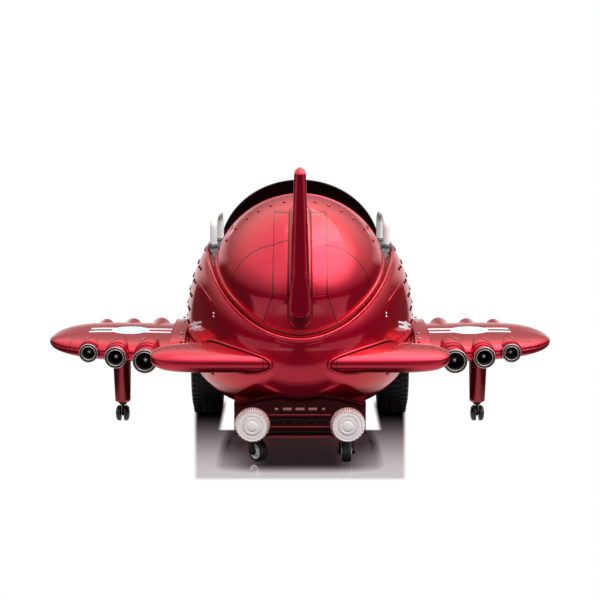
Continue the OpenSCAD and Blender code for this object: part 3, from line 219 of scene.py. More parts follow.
def revolve(profile, steps, close):
    """Points and faces of a profile of (radius, height) turned about +Z."""
    rings = [[(r * cos(a), r * sin(a), h) for a in turns(steps)] for r, h in profile]
    return np.array(rings).reshape(-1, 3), grid_faces(len(rings), steps, close, True)


def rotation(degrees, axis):
    return Matrix.Rotation(radians(degrees), 4, axis)


# From +Z to +Y, to -Y and to +X
AXIS_Y, AXIS_BACK, AXIS_X = rotation(-90, "X"), rotation(90, "X"), rotation(90, "Y")


def moved(points, matrix=None, at=(0, 0, 0)):
    points = np.asarray(points, float)
    if matrix is not None:
        points = points @ np.array(matrix.to_3x3()).T
    return points + np.asarray(at, float)


def flip(path):
    return [(-x, y, z) for x, y, z in path]


SIDES = ("left", -1), ("right", 1)


class Shape:
    """Collects points and faces of one piece from several parts."""

    def __init__(self):
        self.points, self.faces, self.count = [], [], 0

    def add(self, points, faces, matrix=None, at=(0, 0, 0)):
        points = moved(points, matrix, at)
        self.points.append(points)
        self.faces += [[i + self.count for i in f] for f in faces]
        self.count += len(points)
        return self

    def loft(self, rings, matrix=None, at=(0, 0, 0), caps=True):
        return self.add(*loft_mesh(rings, caps), matrix, at)

    def box(self, low, high, matrix=None):
        return self.add(*box_mesh(low, high), matrix)

    def turned(self, profile, matrix=None, at=(0, 0, 0), steps=96, close=True):
        return self.add(*revolve(profile, steps, close), matrix, at)

    def rod(self, radius, start, end, matrix=None, at=(0, 0, 0), steps=24, eye=0.02):
        """A plain cylinder. Its ends keep a pinhole at the axis, far too small to see."""
        return self.turned([(eye, start), (radius, start), (radius, end), (eye, end)],
            matrix, at, steps, False)

    def mirrored(self):
        points = np.concatenate(self.points)
        return self.add(points * (-1, 1, 1), [f[::-1] for f in self.faces])

    def object(self, name):
        return mesh_object(name, np.concatenate(self.points), self.faces)


def tidy(obj, sharp=35.0):
    """Merges doubled points, turns the faces outwards and keeps hard edges where faces meet sharply."""
    work = bmesh.new()
    work.from_mesh(obj.data)
    bmesh.ops.remove_doubles(work, verts=work.verts, dist=MERGE)
    bmesh.ops.dissolve_degenerate(work, edges=work.edges, dist=MERGE / 2)
    bmesh.ops.recalc_face_normals(work, faces=work.faces)
    work.to_mesh(obj.data)
    work.free()
    obj.data.shade_smooth()
    obj.data.set_sharp_from_angle(angle=radians(sharp))
    return obj


def applied(obj):
    """Turns an object with modifiers into a plain mesh."""
    mesh = bpy.data.meshes.new_from_object(obj.evaluated_get(bpy.context.evaluated_depsgraph_get()))
    obj.modifiers.clear()
    obj.data = mesh
    return obj


def cut(obj, cutter):
    step = obj.modifiers.new("cut", "BOOLEAN")
    step.operation, step.solver, step.object = "DIFFERENCE", "EXACT", cutter
    applied(obj)
    bpy.data.objects.remove(cutter)


def piece(obj, materials, *nodes, body="airframe", slot=None, sharp=35.0, neat=True):
    """Finishes a piece: mesh, finishes, the body that it moves with and the solids that it stands for."""
    if neat:
        tidy(obj, sharp)
    materials = materials if isinstance(materials, list) else [materials]
    obj.data.materials.clear()
    for material in materials:
        obj.data.materials.append(material)
    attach(obj, body)
    if nodes:
        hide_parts(*nodes)
    return obj


# Shader helpers


def feed(made, values):
    """Sets a node's inputs, or joins them to what other nodes put out."""
    for key, value in values.items():
        if isinstance(value, bpy.types.NodeSocket):
            made.id_data.links.new(value, made.inputs[key])
        else:
            made.inputs[key].default_value = value
    return made


def add_node(tree, kind, inputs={}, **settings):
    made = tree.nodes.new(kind)
    for key, value in settings.items():
        setattr(made, key, value)
    return feed(made, inputs)


def joined(values, kind, inputs, **settings):
    """A new node in the tree that the first of some values comes from."""
    tree = next(v.id_data for v in values if isinstance(v, bpy.types.NodeSocket))
    return add_node(tree, kind, inputs, **settings).outputs


def calc(operation, *values):
    return joined(values, "ShaderNodeMath", dict(enumerate(values)), operation=operation)[0]


def times(*values):
    return reduce(lambda a, b: calc("MULTIPLY", a, b), values)


def plus(*values):
    return reduce(lambda a, b: calc("ADD", a, b), values)


def most(*values):
    return reduce(lambda a, b: calc("MAXIMUM", a, b), values)


def minus(a, b):
    return calc("SUBTRACT", a, b)


def unsigned(value):
    return calc("ABSOLUTE", value)


def radius_of(a, b):
    return calc("SQRT", plus(times(a, a), times(b, b)))


def blend(share, a, b):
    return joined([share], "ShaderNodeMix", {0: share, 6: a, 7: b}, data_type="RGBA")[2]


def ramp(value, low, high, out_low=0.0, out_high=1.0, kind="LINEAR"):
    return joined([value], "ShaderNodeMapRange", {0: value, 1: low, 2: high, 3: out_low, 4: out_high},
        interpolation_type=kind)[0]


def ease(value, low, high, out_low=0.0, out_high=1.0):
    return ramp(value, low, high, out_low, out_high, "SMOOTHSTEP")


def fade(value, low, high):
    return ease(value, low, high, 1.0, 0.0)


def noise(place, scale, detail=2.0, rough=0.5):
    return joined([place], "ShaderNodeTexNoise", {
        "Vector": place, "Scale": scale, "Detail": detail, "Roughness": rough})[0]


def cells(place, size, **settings):
    return joined([place], "ShaderNodeTexVoronoi", {"Vector": place, "Scale": size}, **settings)


def coordinate(place):
    return joined([place], "ShaderNodeSeparateXYZ", {0: place})


def normal_of(place):
    return coordinate(joined([place], "ShaderNodeNewGeometry", {})["Normal"])


def inside(value, low, high, soft=0.0006):
    """1 between two limits and 0 outside them."""
    return times(ramp(value, low - soft, low + soft), ramp(value, high + soft, high - soft))


def new_group(name, puts_out, **inputs):
    """A group of nodes. A colour has four numbers, a vector three or none, and a plain value one."""
    group = bpy.data.node_groups.new(name, "ShaderNodeTree")
    for label, value in inputs.items():
        kind = "Float" if isinstance(value, float) else "Color" if value and len(value) == 4 else "Vector"
        socket = group.interface.new_socket(label, in_out="INPUT", socket_type="NodeSocket" + kind)
        if value is not None:
            socket.default_value = value
    for label in puts_out:
        kind = "Color" if label == "Colour" else "Float"
        group.interface.new_socket(label, in_out="OUTPUT", socket_type="NodeSocket" + kind)
    return group, add_node(group, "NodeGroupInput").outputs, add_node(group, "NodeGroupOutput")


MID_GREY = (0.5, 0.5, 0.5, 1)


def surface_wear_group():
    """Grime and use: a slow tint over the surface, fine scratches and dust that settles on top."""
    group, given, out = new_group("surface_wear", ("Colour", "Roughness", "Height"), Place=None,
        Colour=MID_GREY, Roughness=0.3, Tint=0.08, Dust=0.1, Scratches=0.1)
    place = given["Place"]
    shade = ramp(noise(place, 9.0, 3.0), 0.3, 0.7)
    fine = noise(place, 160.0, 3.0)
    darker = blend(times(shade, given["Tint"]), given["Colour"], (0.0, 0.0, 0.0, 1))
    settle = times(ramp(normal_of(place)[2], 0.5, 1.0), ramp(fine, 0.45, 0.75))
    dust = times(settle, given["Dust"])
    stretched = add_node(group, "ShaderNodeMapping", {
        "Vector": place, "Rotation": (0.4, 0.2, 0.7), "Scale": (1.0, 14.0, 3.0)}).outputs[0]
    scratch = times(ramp(noise(stretched, 55.0, 4.0, 0.7), 0.66, 0.72), given["Scratches"])
    rough = plus(given["Roughness"], plus(times(dust, 0.5), times(scratch, 0.4)))
    feed(out, {"Colour": blend(dust, darker, (0.55, 0.5, 0.46, 1)), "Roughness": calc("MINIMUM", rough, 1.0),
        "Height": times(scratch, -1.0)})
    return group


def flake_group():
    """Metal flakes under a clear coat: each small cell is a little lighter or darker."""
    group, given, out = new_group("paint_flakes", ("Colour", "Height"), Place=None, Colour=(0.5, 0.0, 0.0, 1),
        Flake=(1, 0.2, 0.2, 1), Amount=0.3, Size=900.0)
    colour = cells(given["Place"], given["Size"])["Color"]
    level = add_node(group, "ShaderNodeSeparateColor", {0: colour}).outputs[0]
    lit = times(ramp(level, 0.55, 1.0), given["Amount"])
    feed(out, {"Colour": blend(lit, given["Colour"], given["Flake"]),
        "Height": noise(given["Place"], 70.0, 1.0)})
    return group


def line_group():
    """A thin drawn or engraved line where a distance passes nought."""
    group, given, out = new_group("thin_line", ("Mask",), Distance=1.0, Width=0.001)
    feed(out, {"Mask": fade(calc("DIVIDE", unsigned(given["Distance"]), given["Width"]), 0.35, 1.0)})
    return group


def grain_group():
    """Moulded grain of plastic: small bumps with a change of gloss."""
    group, given, out = new_group("moulded_grain", ("Roughness", "Height"), Place=None, Size=900.0,
        Roughness=0.5)
    bumps = cells(given["Place"], given["Size"], feature="SMOOTH_F1")[0]
    wide = noise(given["Place"], 30.0, 3.0)
    feed(out, {"Height": bumps, "Roughness": plus(given["Roughness"], ramp(wide, 0.3, 0.7, -0.06, 0.08))})
    return group


def brushed_group():
    """Fine turning marks of bare metal."""
    group, given, out = new_group("turned_metal", ("Roughness", "Height"), Place=None, Stretch=(1, 1, 1),
        Roughness=0.25)
    place = add_node(group, "ShaderNodeVectorMath", {0: given["Place"], 1: given["Stretch"]},
        operation="MULTIPLY")
    marks = noise(place.outputs[0], 400.0, 3.0, 0.7)
    feed(out, {"Height": marks, "Roughness": plus(given["Roughness"], ramp(marks, 0.3, 0.7, -0.08, 0.12))})
    return group


WEAR, FLAKES, LINE, GRAIN, BRUSHED = (
    surface_wear_group(), flake_group(), line_group(), grain_group(), brushed_group())


def use_group(group, **inputs):
    return joined(inputs.values(), "ShaderNodeGroup", inputs, node_tree=group)


def line(distance, width=0.0016):
    return use_group(LINE, Distance=distance, Width=width)["Mask"]


def worn(place, colour, rough, tint, dust, scratches):
    return use_group(WEAR, Place=place, Colour=colour, Roughness=rough, Tint=tint, Dust=dust,
        Scratches=scratches)


def new_material(name, slot=None, **constants):
    """A material with its shader, and the place on the object that its pattern follows."""
    material = bpy.data.materials.new(name)
    material.use_nodes = True
    tree = material.node_tree
    tree.nodes.clear()
    shader = add_node(tree, "ShaderNodeBsdfPrincipled", constants)
    add_node(tree, "ShaderNodeOutputMaterial", {"Surface": shader.outputs[0]})
    material.diffuse_color = MID_GREY
    return material, shader, add_node(tree, "ShaderNodeTexCoord").outputs["Object"]


def dress(shader, colour, rough, height, strength, depth):
    """Gives a shader its colour, its gloss and its small relief."""
    relief = joined([height], "ShaderNodeBump", {"Strength": strength, "Distance": depth,
        "Height": height})[0]
    feed(shader, {"Base Color": colour, "Roughness": rough, "Normal": relief})


PAINT_RED = (0.60, 0.002, 0.030, 1)
PAINT_FLAKE = (0.95, 0.015, 0.06, 1)
TRIM_RED = (0.30, 0.003, 0.012, 1)
PALE_BLUE = (0.50, 0.72, 0.80, 1)
WHITE = (0.82, 0.82, 0.82, 1)


def red_paint(name, lines=None, marks=None, slot="body_red", colour=PAINT_RED, coat=0.85, flake=0.13):
    """Clear-coated metallic red. lines(place) gives a mask of engraved lines, marks(place) a list of
    (mask, colour) painted over the red."""
    material, shader, place = new_material(name, slot, **{"Coat Roughness": 0.025, "Coat Weight": coat,
        "Coat IOR": 1.5, "Specular IOR Level": 0.0, "Specular Tint": (0.9, 0.12, 0.15, 1)})
    flakes = use_group(FLAKES, Place=place, Colour=colour, Flake=PAINT_FLAKE, Amount=flake, Size=1100.0)
    tint = worn(place, flakes["Colour"], 0.24, 0.10, 0.04, 0.05)
    final, metallic, height = tint["Colour"], 0.80, times(flakes["Height"], 0.018)
    for mask, over in marks(place) if marks else ():
        final = blend(mask, final, over)
        metallic = times(metallic, minus(1.0, mask))
    if lines:
        mask = lines(place)
        final = blend(mask, final, (0.05, 0.0, 0.004, 1))
        height = minus(height, mask)
    feed(shader, {"Metallic": metallic})
    dress(shader, final, tint["Roughness"], height, 0.6, 0.0009)
    return material


def plastic(name, colour, rough=0.45, grain=1000.0, depth=0.12, coat=0.0, tint=0.25, dust=0.08, slot=None):
    material, shader, place = new_material(name, slot, **{"Coat Weight": coat, "Coat Roughness": 0.06})
    grains = use_group(GRAIN, Place=place, Size=grain, Roughness=rough)
    wear = worn(place, colour, grains["Roughness"], tint, dust, 0.15)
    height = plus(times(grains["Height"], 0.5), times(wear["Height"], 0.3))
    dress(shader, wear["Colour"], wear["Roughness"], height, depth, 0.0006)
    return material


def metal(name, colour, rough, stretch=(1, 1, 1), slot=None):
    material, shader, place = new_material(name, slot, Metallic=1.0)
    turned = use_group(BRUSHED, Place=place, Stretch=stretch, Roughness=rough)
    wear = worn(place, colour, turned["Roughness"], 0.12, 0.05, 0.2)
    dress(shader, wear["Colour"], wear["Roughness"], turned["Height"], 0.05, 0.0004)
    return material


# Geometry Nodes trees


def geometry_tree(name, **inputs):
    """A tree whose inputs are its sizes, each given by kind and value. It ends in one plain mesh."""
    tree = bpy.data.node_groups.new(name, "GeometryNodeTree")
    tree.interface.new_socket("Geometry", in_out="INPUT", socket_type="NodeSocketGeometry")
    names = {}
    for label, (kind, value) in {**inputs, "Material": ("Material", None)}.items():
        socket = tree.interface.new_socket(label, in_out="INPUT", socket_type="NodeSocket" + kind)
        if value is not None:
            socket.default_value = value
        names[label] = socket.identifier
    tree.interface.new_socket("Geometry", in_out="OUTPUT", socket_type="NodeSocketGeometry")
    given, real = add_node(tree, "NodeGroupInput").outputs, add_node(tree, "GeometryNodeRealizeInstances")
    done = add_node(tree, "GeometryNodeSetMaterial", {"Geometry": real.outputs[0],
        "Material": given["Material"]})
    add_node(tree, "NodeGroupOutput", {"Geometry": done.outputs[0]})
    return tree, names, given, real


def copies_tree():
    """A copy of one shape on every point, turned by the point's own angles and scaled by its size."""
    tree, names, given, end = geometry_tree("copies_on_points", Shape=("Object", None), Scale=("Float", 1.0))
    turn, size = (add_node(tree, "GeometryNodeInputNamedAttribute", {"Name": name}, data_type=kind).outputs[0]
        for name, kind in (("turn", "FLOAT_VECTOR"), ("size", "FLOAT")))
    put = add_node(tree, "GeometryNodeInstanceOnPoints", {"Points": given["Geometry"],
        "Rotation": add_node(tree, "FunctionNodeEulerToRotation", {0: turn}).outputs[0],
        "Instance": add_node(tree, "GeometryNodeObjectInfo", {"Object": given["Shape"]}).outputs["Geometry"],
        "Scale": times(size, given["Scale"])})
    feed(end, {"Geometry": put.outputs[0]})
    return tree, names


def tube_tree():
    """A round bead or tube along a path of edges."""
    tree, names, given, end = geometry_tree("bead_along_path", Radius=("Float", 0.003), Sides=("Int", 12))
    path = add_node(tree, "GeometryNodeMeshToCurve", {"Mesh": given["Geometry"]}).outputs[0]
    ring = add_node(tree, "GeometryNodeCurvePrimitiveCircle", {
        "Resolution": given["Sides"], "Radius": given["Radius"]}).outputs[0]
    tube = add_node(tree, "GeometryNodeCurveToMesh", {"Curve": path, "Profile Curve": ring,
        "Fill Caps": True})
    feed(end, {"Geometry": tube.outputs[0]})
    return tree, names


COPIES, TUBE = copies_tree(), tube_tree()


def run_tree(obj, made, **values):
    step = obj.modifiers.new("made", "NODES")
    step.node_group, names = made
    for key, value in values.items():
        step[names[key]] = value
    obj.update_tag()
    return applied(obj)


def copies(name, shape, spots, material, **where):
    """Puts copies of a shape on spots, each (place in mm, direction of its +Z, turn about it, size)."""
    spots = [tuple(s) + (0.0, 1.0)[len(s) - 2:] for s in spots]
    obj = mesh_object(name, [s[0] for s in spots])
    angles = []
    for place, way, spin, size in spots:
        angles += list((Vector(way).normalized().to_track_quat("Z", "Y").to_matrix()
            @ Matrix.Rotation(spin, 3, "Z")).to_euler())
    for label, kind, key, values in (
            ("turn", "FLOAT_VECTOR", "vector", angles), ("size", "FLOAT", "value", [s[3] for s in spots])):
        obj.data.attributes.new(label, kind, "POINT").data.foreach_set(key, values)
    run_tree(obj, COPIES, Shape=shape, Material=material)
    bpy.data.objects.remove(shape)
    return piece(obj, material, neat=False, **where)


def bead(name, paths, radius, material, sides=12, closed=False, **where):
    """A bead along one or more paths of points in mm."""
    points, edges = [], []
    for path in paths:
        start = len(points)
        points += [tuple(p) for p in path]
        edges += [(start + i, start + i + 1) for i in range(len(path) - 1)]
        if closed:
            edges.append((start + len(path) - 1, start))
    obj = mesh_object(name, points, edges=edges)
    run_tree(obj, TUBE, Radius=radius * MM, Sides=sides, Material=material)
    return piece(obj, material, sharp=50, **where)


def dome_shape(radius, height, sides=12, rings=3):
    """A low rivet or screw head of a few dozen faces, sitting on z = 0."""
    profile = [(radius * cos(a), height * sin(a)) for a in linspace(0, pi / 2 * 0.97, rings + 1)]
    profile = [(radius * 0.9, -0.8)] + profile + [(0.001, height)]
    return tidy(Shape().turned(profile, steps=sides, close=False).object("head_shape"), 60)


def screw_shape(radius, height, sides=18):
    """A pan head with a cross recess."""
    top = height * 1.05
    profile = [(radius, -1.0), (radius, height * 0.6), (radius * 0.85, height), (radius * 0.4, top),
        (0.001, top)]
    head = tidy(Shape().turned(profile, steps=sides, close=False).object("screw_shape"), 40)
    w, l = radius * 0.13, radius * 0.6
    for turn in (0, 90):
        cut(head, tidy(Shape().box((-l, -w, height * 0.35), (l, w, height * 2), rotation(turn, "Z"))
            .object("recess")))
    return head


# Finishes


def deck_lines(place):
    """Engraved outline of the deck's hatch, the arch round it and the two flares under it."""
    x, y, z = coordinate(place)
    side = unsigned(x)
    hatch = times(line(minus(side, 0.0605)), inside(z, 0.397, 0.5625), inside(y, -0.6, -0.2))
    across = inside(side, -0.1, 0.0605)
    low = times(line(minus(z, 0.397)), across)
    high = times(line(minus(z, 0.5625)), across)
    arch_y = minus(y, ramp(side, 0.06, 0.16, -0.4545, -0.418))
    arch = times(line(arch_y), inside(z, 0.4, 0.6))
    flare_x = minus(side, ramp(z, 0.33, 0.397, 0.083, 0.0605))
    flare = times(line(flare_x), inside(z, 0.3, 0.397), inside(y, -0.6, -0.4))
    front = line(minus(y, -0.2135), 0.0009)
    return most(hatch, low, high, arch, flare, front)


def hull_lines(place):
    """Joints between the panels of the hull."""
    x, y, z = coordinate(place)
    hoops = [line(minus(y, at)) for at in (-0.1, 0.13, 0.3)]
    low = times(line(minus(z, 0.165)), inside(y, -0.6, 0.4))
    slant = minus(z, ramp(y, -0.32, -0.1, 0.31, 0.365))
    rise = times(line(slant), inside(y, -0.37, -0.1))
    return most(*hoops, low, rise)


def hood_lines(place):
    x, y, z = coordinate(place)
    side = unsigned(x)
    hoops = [line(minus(y, at)) for at in (0.284, 0.372)]
    long = times(line(minus(side, 0.06)), inside(y, 0.284, 0.372))
    return most(*hoops, long)


def wing_lines(place):
    """The joint of the aileron and the panels of the wing."""
    x, y, z = coordinate(place)
    side = unsigned(x)
    hinge = times(line(minus(y, -0.205)), inside(side, 0.318, 0.565))
    ends = times(line(minus(side, 0.565)), inside(y, -0.3, -0.205))
    front = times(line(minus(y, -0.005)), inside(side, 0.3, 0.56))
    return most(hinge, ends, front)


def stabilizer_lines(place):
    x, y, z = coordinate(place)
    side = unsigned(x)
    hinge = times(line(minus(y, -0.492)), inside(side, 0.12, 0.325))
    root = line(minus(side, 0.082))
    return most(hinge, root)


def disc_mark(along, across, radius, hub=0.42):
    """A pale-blue disc with a plain white ring and middle."""
    r = radius_of(along, across)
    share = calc("DIVIDE", r, radius)
    disc = ramp(share, 0.985, 1.0, 1.0, 0.0)
    white = most(ramp(share, hub, hub - 0.03), inside(share, 0.8, 0.9, 0.01))
    return disc, times(disc, white)


def wing_marks(place):
    """Two white stripes along the wing and a pale-blue disc over them, on the upper side."""
    x, y, z = coordinate(place)
    side = unsigned(x)
    normal = normal_of(place)
    top = ramp(normal[2], 0.5, 0.6)
    stripes = most(inside(y, -0.105, -0.088), inside(y, -0.143, -0.126))
    stripes = times(stripes, top, inside(side, 0.321, 0.53))
    disc, white = disc_mark(minus(side, 0.428), minus(y, -0.1155), 0.048)
    return [(stripes, WHITE), (times(disc, top), PALE_BLUE), (times(white, top), WHITE)]


def hull_marks(place):
    """The same motif, small and leaning, on each side of the hull between the wing and the stabilizer."""
    x, y, z = coordinate(place)
    along = minus(y, -0.3)
    across = plus(minus(z, 0.284), times(along, 0.26))
    bars = most(inside(across, 0.0025, 0.0075), inside(across, -0.0075, -0.0025))
    bars = times(bars, inside(along, -0.058, 0.058))
    disc, white = disc_mark(times(along, 0.45), across, 0.0105)
    return [(bars, WHITE), (disc, PALE_BLUE), (white, WHITE)]


paint = red_paint("body_paint")
paint_hull = red_paint("hull_paint", hull_lines, hull_marks)
paint_deck = red_paint("deck_paint", deck_lines)
paint_hood = red_paint("hood_paint", hood_lines)
paint_wing = red_paint("wing_paint", wing_lines, wing_marks)
paint_stab = red_paint("stabilizer_paint", stabilizer_lines)
# Darker red for trims; on the fin's fairing it is painted shade, and on the bumper's bars painted highlights.
paint_trim = red_paint("trim_paint", slot="trim_red", colour=TRIM_RED)
# Near-black red for the flat ledge inside the hull's rim: painted shade.
ledge_shade_paint = red_paint("ledge_painted_shade", slot="trim_red", colour=(0.11, 0.001, 0.004, 1), coat=0.5, flake=0.05)
# Near-black red: painted shade on the bumper and on the hull's rivets; also the dark seams round the wing
# roots and stabilizers.
paint_dark = red_paint("dark_paint", slot="trim_red", colour=(0.035, 0.0005, 0.002, 1), coat=0.15, flake=0.02)
black_gloss = plastic("black_gloss", (0.006, 0.006, 0.006, 1), 0.38, 500.0, 0.02, 0.0, 0.1, 0.03)
black_matte = plastic("black_matte", (0.018, 0.018, 0.019, 1), 0.55, 900.0, 0.2)
grey_matte = plastic("grey_matte", (0.075, 0.077, 0.08, 1), 0.6, 700.0, 0.25)
pearl = plastic("pearl_plastic", (0.98, 0.97, 0.98, 1), 0.22, 600.0, 0.02, 0.5, 0.04, 0.02)
chrome = metal("silver_trim", (0.72, 0.7, 0.7, 1), 0.16, (1, 1, 1))
steel = metal("steel", (0.42, 0.42, 0.43, 1), 0.32, (1, 8, 1))
satin = metal("satin_rings", (0.78, 0.66, 0.64, 1), 0.42, slot="silver_trim")
bore_grey = plastic("bore_grey", (0.16, 0.15, 0.15, 1), 0.5, 900.0, 0.2, slot="black_matte")
# Pale brown for the dashes over the bumper's grille: painted highlights of a shallow row of slots.
dash_highlight_finish = plastic("painted_highlight_brown", (0.36, 0.17, 0.15, 1), 0.35, 700.0, 0.05, slot="silver_trim")
slot_finish = plastic("slot_green", (0.008, 0.017, 0.015, 1), 0.5, 900.0, 0.2, slot="black_matte")
green_key = plastic("green_button", (0.02, 0.35, 0.06, 1), 0.3, 700.0, 0.05)
yellow_key = plastic("yellow_button", (0.75, 0.42, 0.02, 1), 0.3, 700.0, 0.05)


# Hull


def lengths(points):
    return np.concatenate([[0], np.cumsum(np.linalg.norm(np.diff(points, axis=0), axis=1))])


def resample(points, places):
    """Points along a path: so many, evenly spaced, or one at each of some distances."""
    points = np.asarray(points, float)
    along = lengths(points)
    if isinstance(places, int):
        places = linspace(0, along[-1], places)
    return np.stack([np.interp(places, along, line) for line in points.T], axis=1)


def hull_section(rim, up, down, power):
    """Shares of the hull's half width, and heights, from rim to keel."""
    top = asin(min(1, (rim - HULL_Z) / up))
    a = np.concatenate([linspace(top, 0, 60), -linspace(0, 1, 260)[1:] ** 1.6 * pi / 2])
    c, s = np.abs(np.cos(a)), np.sin(a)
    low = a < 0
    r = np.where(low, c ** (2 / power), c)
    r[-1] = 0
    return r, np.where(low, HULL_Z - down * np.abs(s) ** (2 / power), HULL_Z + up * s)


def tail_section(phi, rim, d=0.0):
    """The hull's skin, or a line d inside it, from rim to keel at an angle round the tail."""
    r, z = hull_section(rim, HULL_UP - d, HULL_DOWN - d, 3)
    return np.stack([(HULL_HALF_W - d) * r * cos(phi), HULL_Y - (TAIL_LEN - d) * r * sin(phi), z], axis=1)


def nose_section(y, rim, d=0.0):
    """The same at a station in front of the cockpit."""
    r, z = hull_section(rim, nose_up(y, d), nose_down(y, d), mix(3, 2, nose_share(y)))
    return np.stack([nose_w(y, d) * r, np.full(len(r), y), z], axis=1)


LIP = [(-9.5, 0.0), (-8.2, 0.5), (-7.0, 1.8), (-5.2, 3.0), (-3.0, 3.5), (-0.8, 3.1), (0.7, 1.8), (1.3, 0.0),
    (1.1, -2.0), (0.4, -3.6)]
SKIN_ROWS = 46


def hull_rib(section, at, rim, out):
    """One rib: inner skin from the keel up, the ledge, the rolled lip, the outer skin down to the keel."""
    outer, inner = section(at, rim), section(at, rim - WALL, WALL)
    top = outer[0]
    flat = np.array([*out(top), 0.0])
    flat /= np.linalg.norm(flat)
    ledge_in = top - flat * LEDGE_W
    lip = [top + flat * a + np.array([0, 0, b]) for a, b in LIP]
    ledge = [mix(ledge_in, lip[0], t) for t in (0, 0.25, 0.5, 0.75)]
    return np.concatenate([resample(inner, SKIN_ROWS)[::-1], [ledge_in - np.array([0, 0, WALL])], ledge, lip,
        resample(outer, SKIN_ROWS + 1)[1:]])


def hull_shell():
    nose = [hull_rib(nose_section, y, nose_rim(y), lambda top: (1.0, 0.0))
        for y in linspace(NOSE_Y, HULL_Y, 56)[:-1]]
    tail = [hull_rib(tail_section, phi, tail_rim(phi), lambda top: (top[0], top[1] - HULL_Y))
        for phi in linspace(0, pi, 145)]
    ribs = np.array(nose + tail + [rib * (-1, 1, 1) for rib in nose[::-1]])
    rows, cols = ribs.shape[:2]
    faces = grid_faces(rows, cols)
    half = SKIN_ROWS
    low, high = list(range(half)), list(range(half, cols))[::-1]
    for k in (0, (rows - 1) * cols):
        faces += [[k + low[i], k + low[i + 1], k + high[i + 1], k + high[i]] for i in range(half - 1)]
        faces.append([k + low[-1]] + [k + j for j in range(half, cols - half + 1)])
    obj = tidy(mesh_object("hull_shell", ribs.reshape(-1, 3), faces), 40)
    for s in (-1, 1):
        cutter = Shape().rod(ARCH_R + 3.3, 0, 90, AXIS_X, steps=96, eye=0.001).object("arch")
        for v in cutter.data.vertices:
            x, y, z = v.co
            v.co = s * (x + (WHEEL_X - WHEEL_W / 2 - 13.3) * MM), y + AXLE_Y * MM, z + WHEEL_R * MM
        cut(obj, tidy(cutter))
    piece(obj, [paint_hull, ledge_shade_paint], "lower_hull", sharp=32)
    # The flat faces of the ledge inside the rim take the darker ledge red: painted shade.
    for face in obj.data.polygons:
        x, y, z = face.center / MM
        rim = rim_at(x, y)
        room = hull_x(y, rim) - abs(x) if y > HULL_Y else (sqrt(1 - ((rim - HULL_Z) / HULL_UP) ** 2)
            - hypot(x / HULL_HALF_W, (HULL_Y - y) / TAIL_LEN)) * HULL_HALF_W
        face.material_index = int(face.normal.z > 0.3 and rim - 8 < z < rim + 3 and room > 7.5)


hull_shell()


# Tail deck


def deck_foot(phi, d):
    """Height at which the deck meets the hull's rim, found by a few rounds of correction."""
    share, z = 1.0, 0.0
    for _ in range(5):
        z = rim_at((DECK_R + d) * share * cos(phi), DECK_Y - (DECK_LEN + d) * share * sin(phi)) + SEAM
        share = sqrt(max(0, 1 - (max(0, z - DECK_Z) / (DECK_R + d)) ** 2))
    return z


PLINTH_H, PLINTH_T = 12.0, 2.6


def deck_rib(phi, d, rows=46):
    foot = deck_foot(phi, d)
    crown = DECK_Z + DECK_R + d
    straight = np.array([[1.0, z] for z in linspace(foot, max(DECK_Z, foot), 12)]) if foot < DECK_Z else None
    low = asin(max(0, foot - DECK_Z) / (DECK_R + d))
    a = linspace(low, pi / 2, 220)
    curve = np.stack([np.cos(a), DECK_Z + (DECK_R + d) * np.sin(a)], axis=1)
    curve[-1] = (0, crown)
    path = curve if straight is None else np.concatenate([straight[:-1], curve])
    points = np.stack([(DECK_R + d) * path[:, 0] * cos(phi), DECK_Y - (DECK_LEN + d) * path[:, 0] * sin(phi),
        path[:, 1]], axis=1)
    marks = [0, 0.3, PLINTH_H - 1.6, PLINTH_H - 0.6, PLINTH_H, PLINTH_H + 0.5, PLINTH_H + 1.6]
    points = resample(points, np.concatenate([marks, linspace(PLINTH_H + 6, lengths(points)[-1], rows)]))
    if d >= 0:
        normal = np.array([cos(phi) / DECK_R, -sin(phi) / DECK_LEN, 0])
        normal /= np.linalg.norm(normal)
        for i, push in enumerate((PLINTH_T, PLINTH_T, PLINTH_T, PLINTH_T * 0.8, 0.2, -0.5, 0.0)):
            points[i] += normal * push
    return points


def tail_deck():
    ribs = np.array([np.concatenate([deck_rib(phi, -WALL)[::-1], deck_rib(phi, 0.0)])
        for phi in linspace(0, pi, 121)])
    rows, cols = ribs.shape[:2]
    faces = grid_faces(rows, cols, loop_cols=True)
    half = cols // 2
    for k in (0, (rows - 1) * cols):
        faces += [[k + half - 1 - i, k + half - 2 - i, k + half + 1 + i, k + half + i]
            for i in range(half - 1)]
    obj = mesh_object("tail_deck_shell", ribs.reshape(-1, 3), faces)
    piece(obj, [paint_deck, paint_trim], "tail_deck", sharp=40)
    for face in obj.data.polygons:
        x, y, z = face.center / MM
        face.material_index = int(z < rim_at(x, y) + PLINTH_H + 0.4 and z < DECK_Z + 90)


tail_deck()
arch = [(DECK_R * cos(a), DECK_Y + 0.5, DECK_Z + DECK_R * sin(a))
    for a in linspace(radians(19.7), radians(160.3), 90)]
bead("tail_deck_edge", [[(x * 0.99, y, DECK_Z + (z - DECK_Z) * 0.99) for x, y, z in arch]], 3.4, paint)


# Fairing and tail fin


def deck_back_y(x, z, d=0.0):
    share = sqrt(max(0, 1 - (max(0, z - DECK_Z) / (DECK_R + d)) ** 2))
    return DECK_Y - (DECK_LEN + d) * rooted(share ** 2 - (x / (DECK_R + d)) ** 2)


FAIRING_T, FAIRING_W, FAIRING_FOOT_Z = 10.0, 29.0, 328.0
FAIRING_END = acos(145 / DECK_LEN)


def rounded_end(w, length, radius):
    """Half width of a band at a distance from its end, whose corners are rounded."""
    return w - radius * (1 - sqrt(1 - max(0, 1 - length / radius) ** 2))


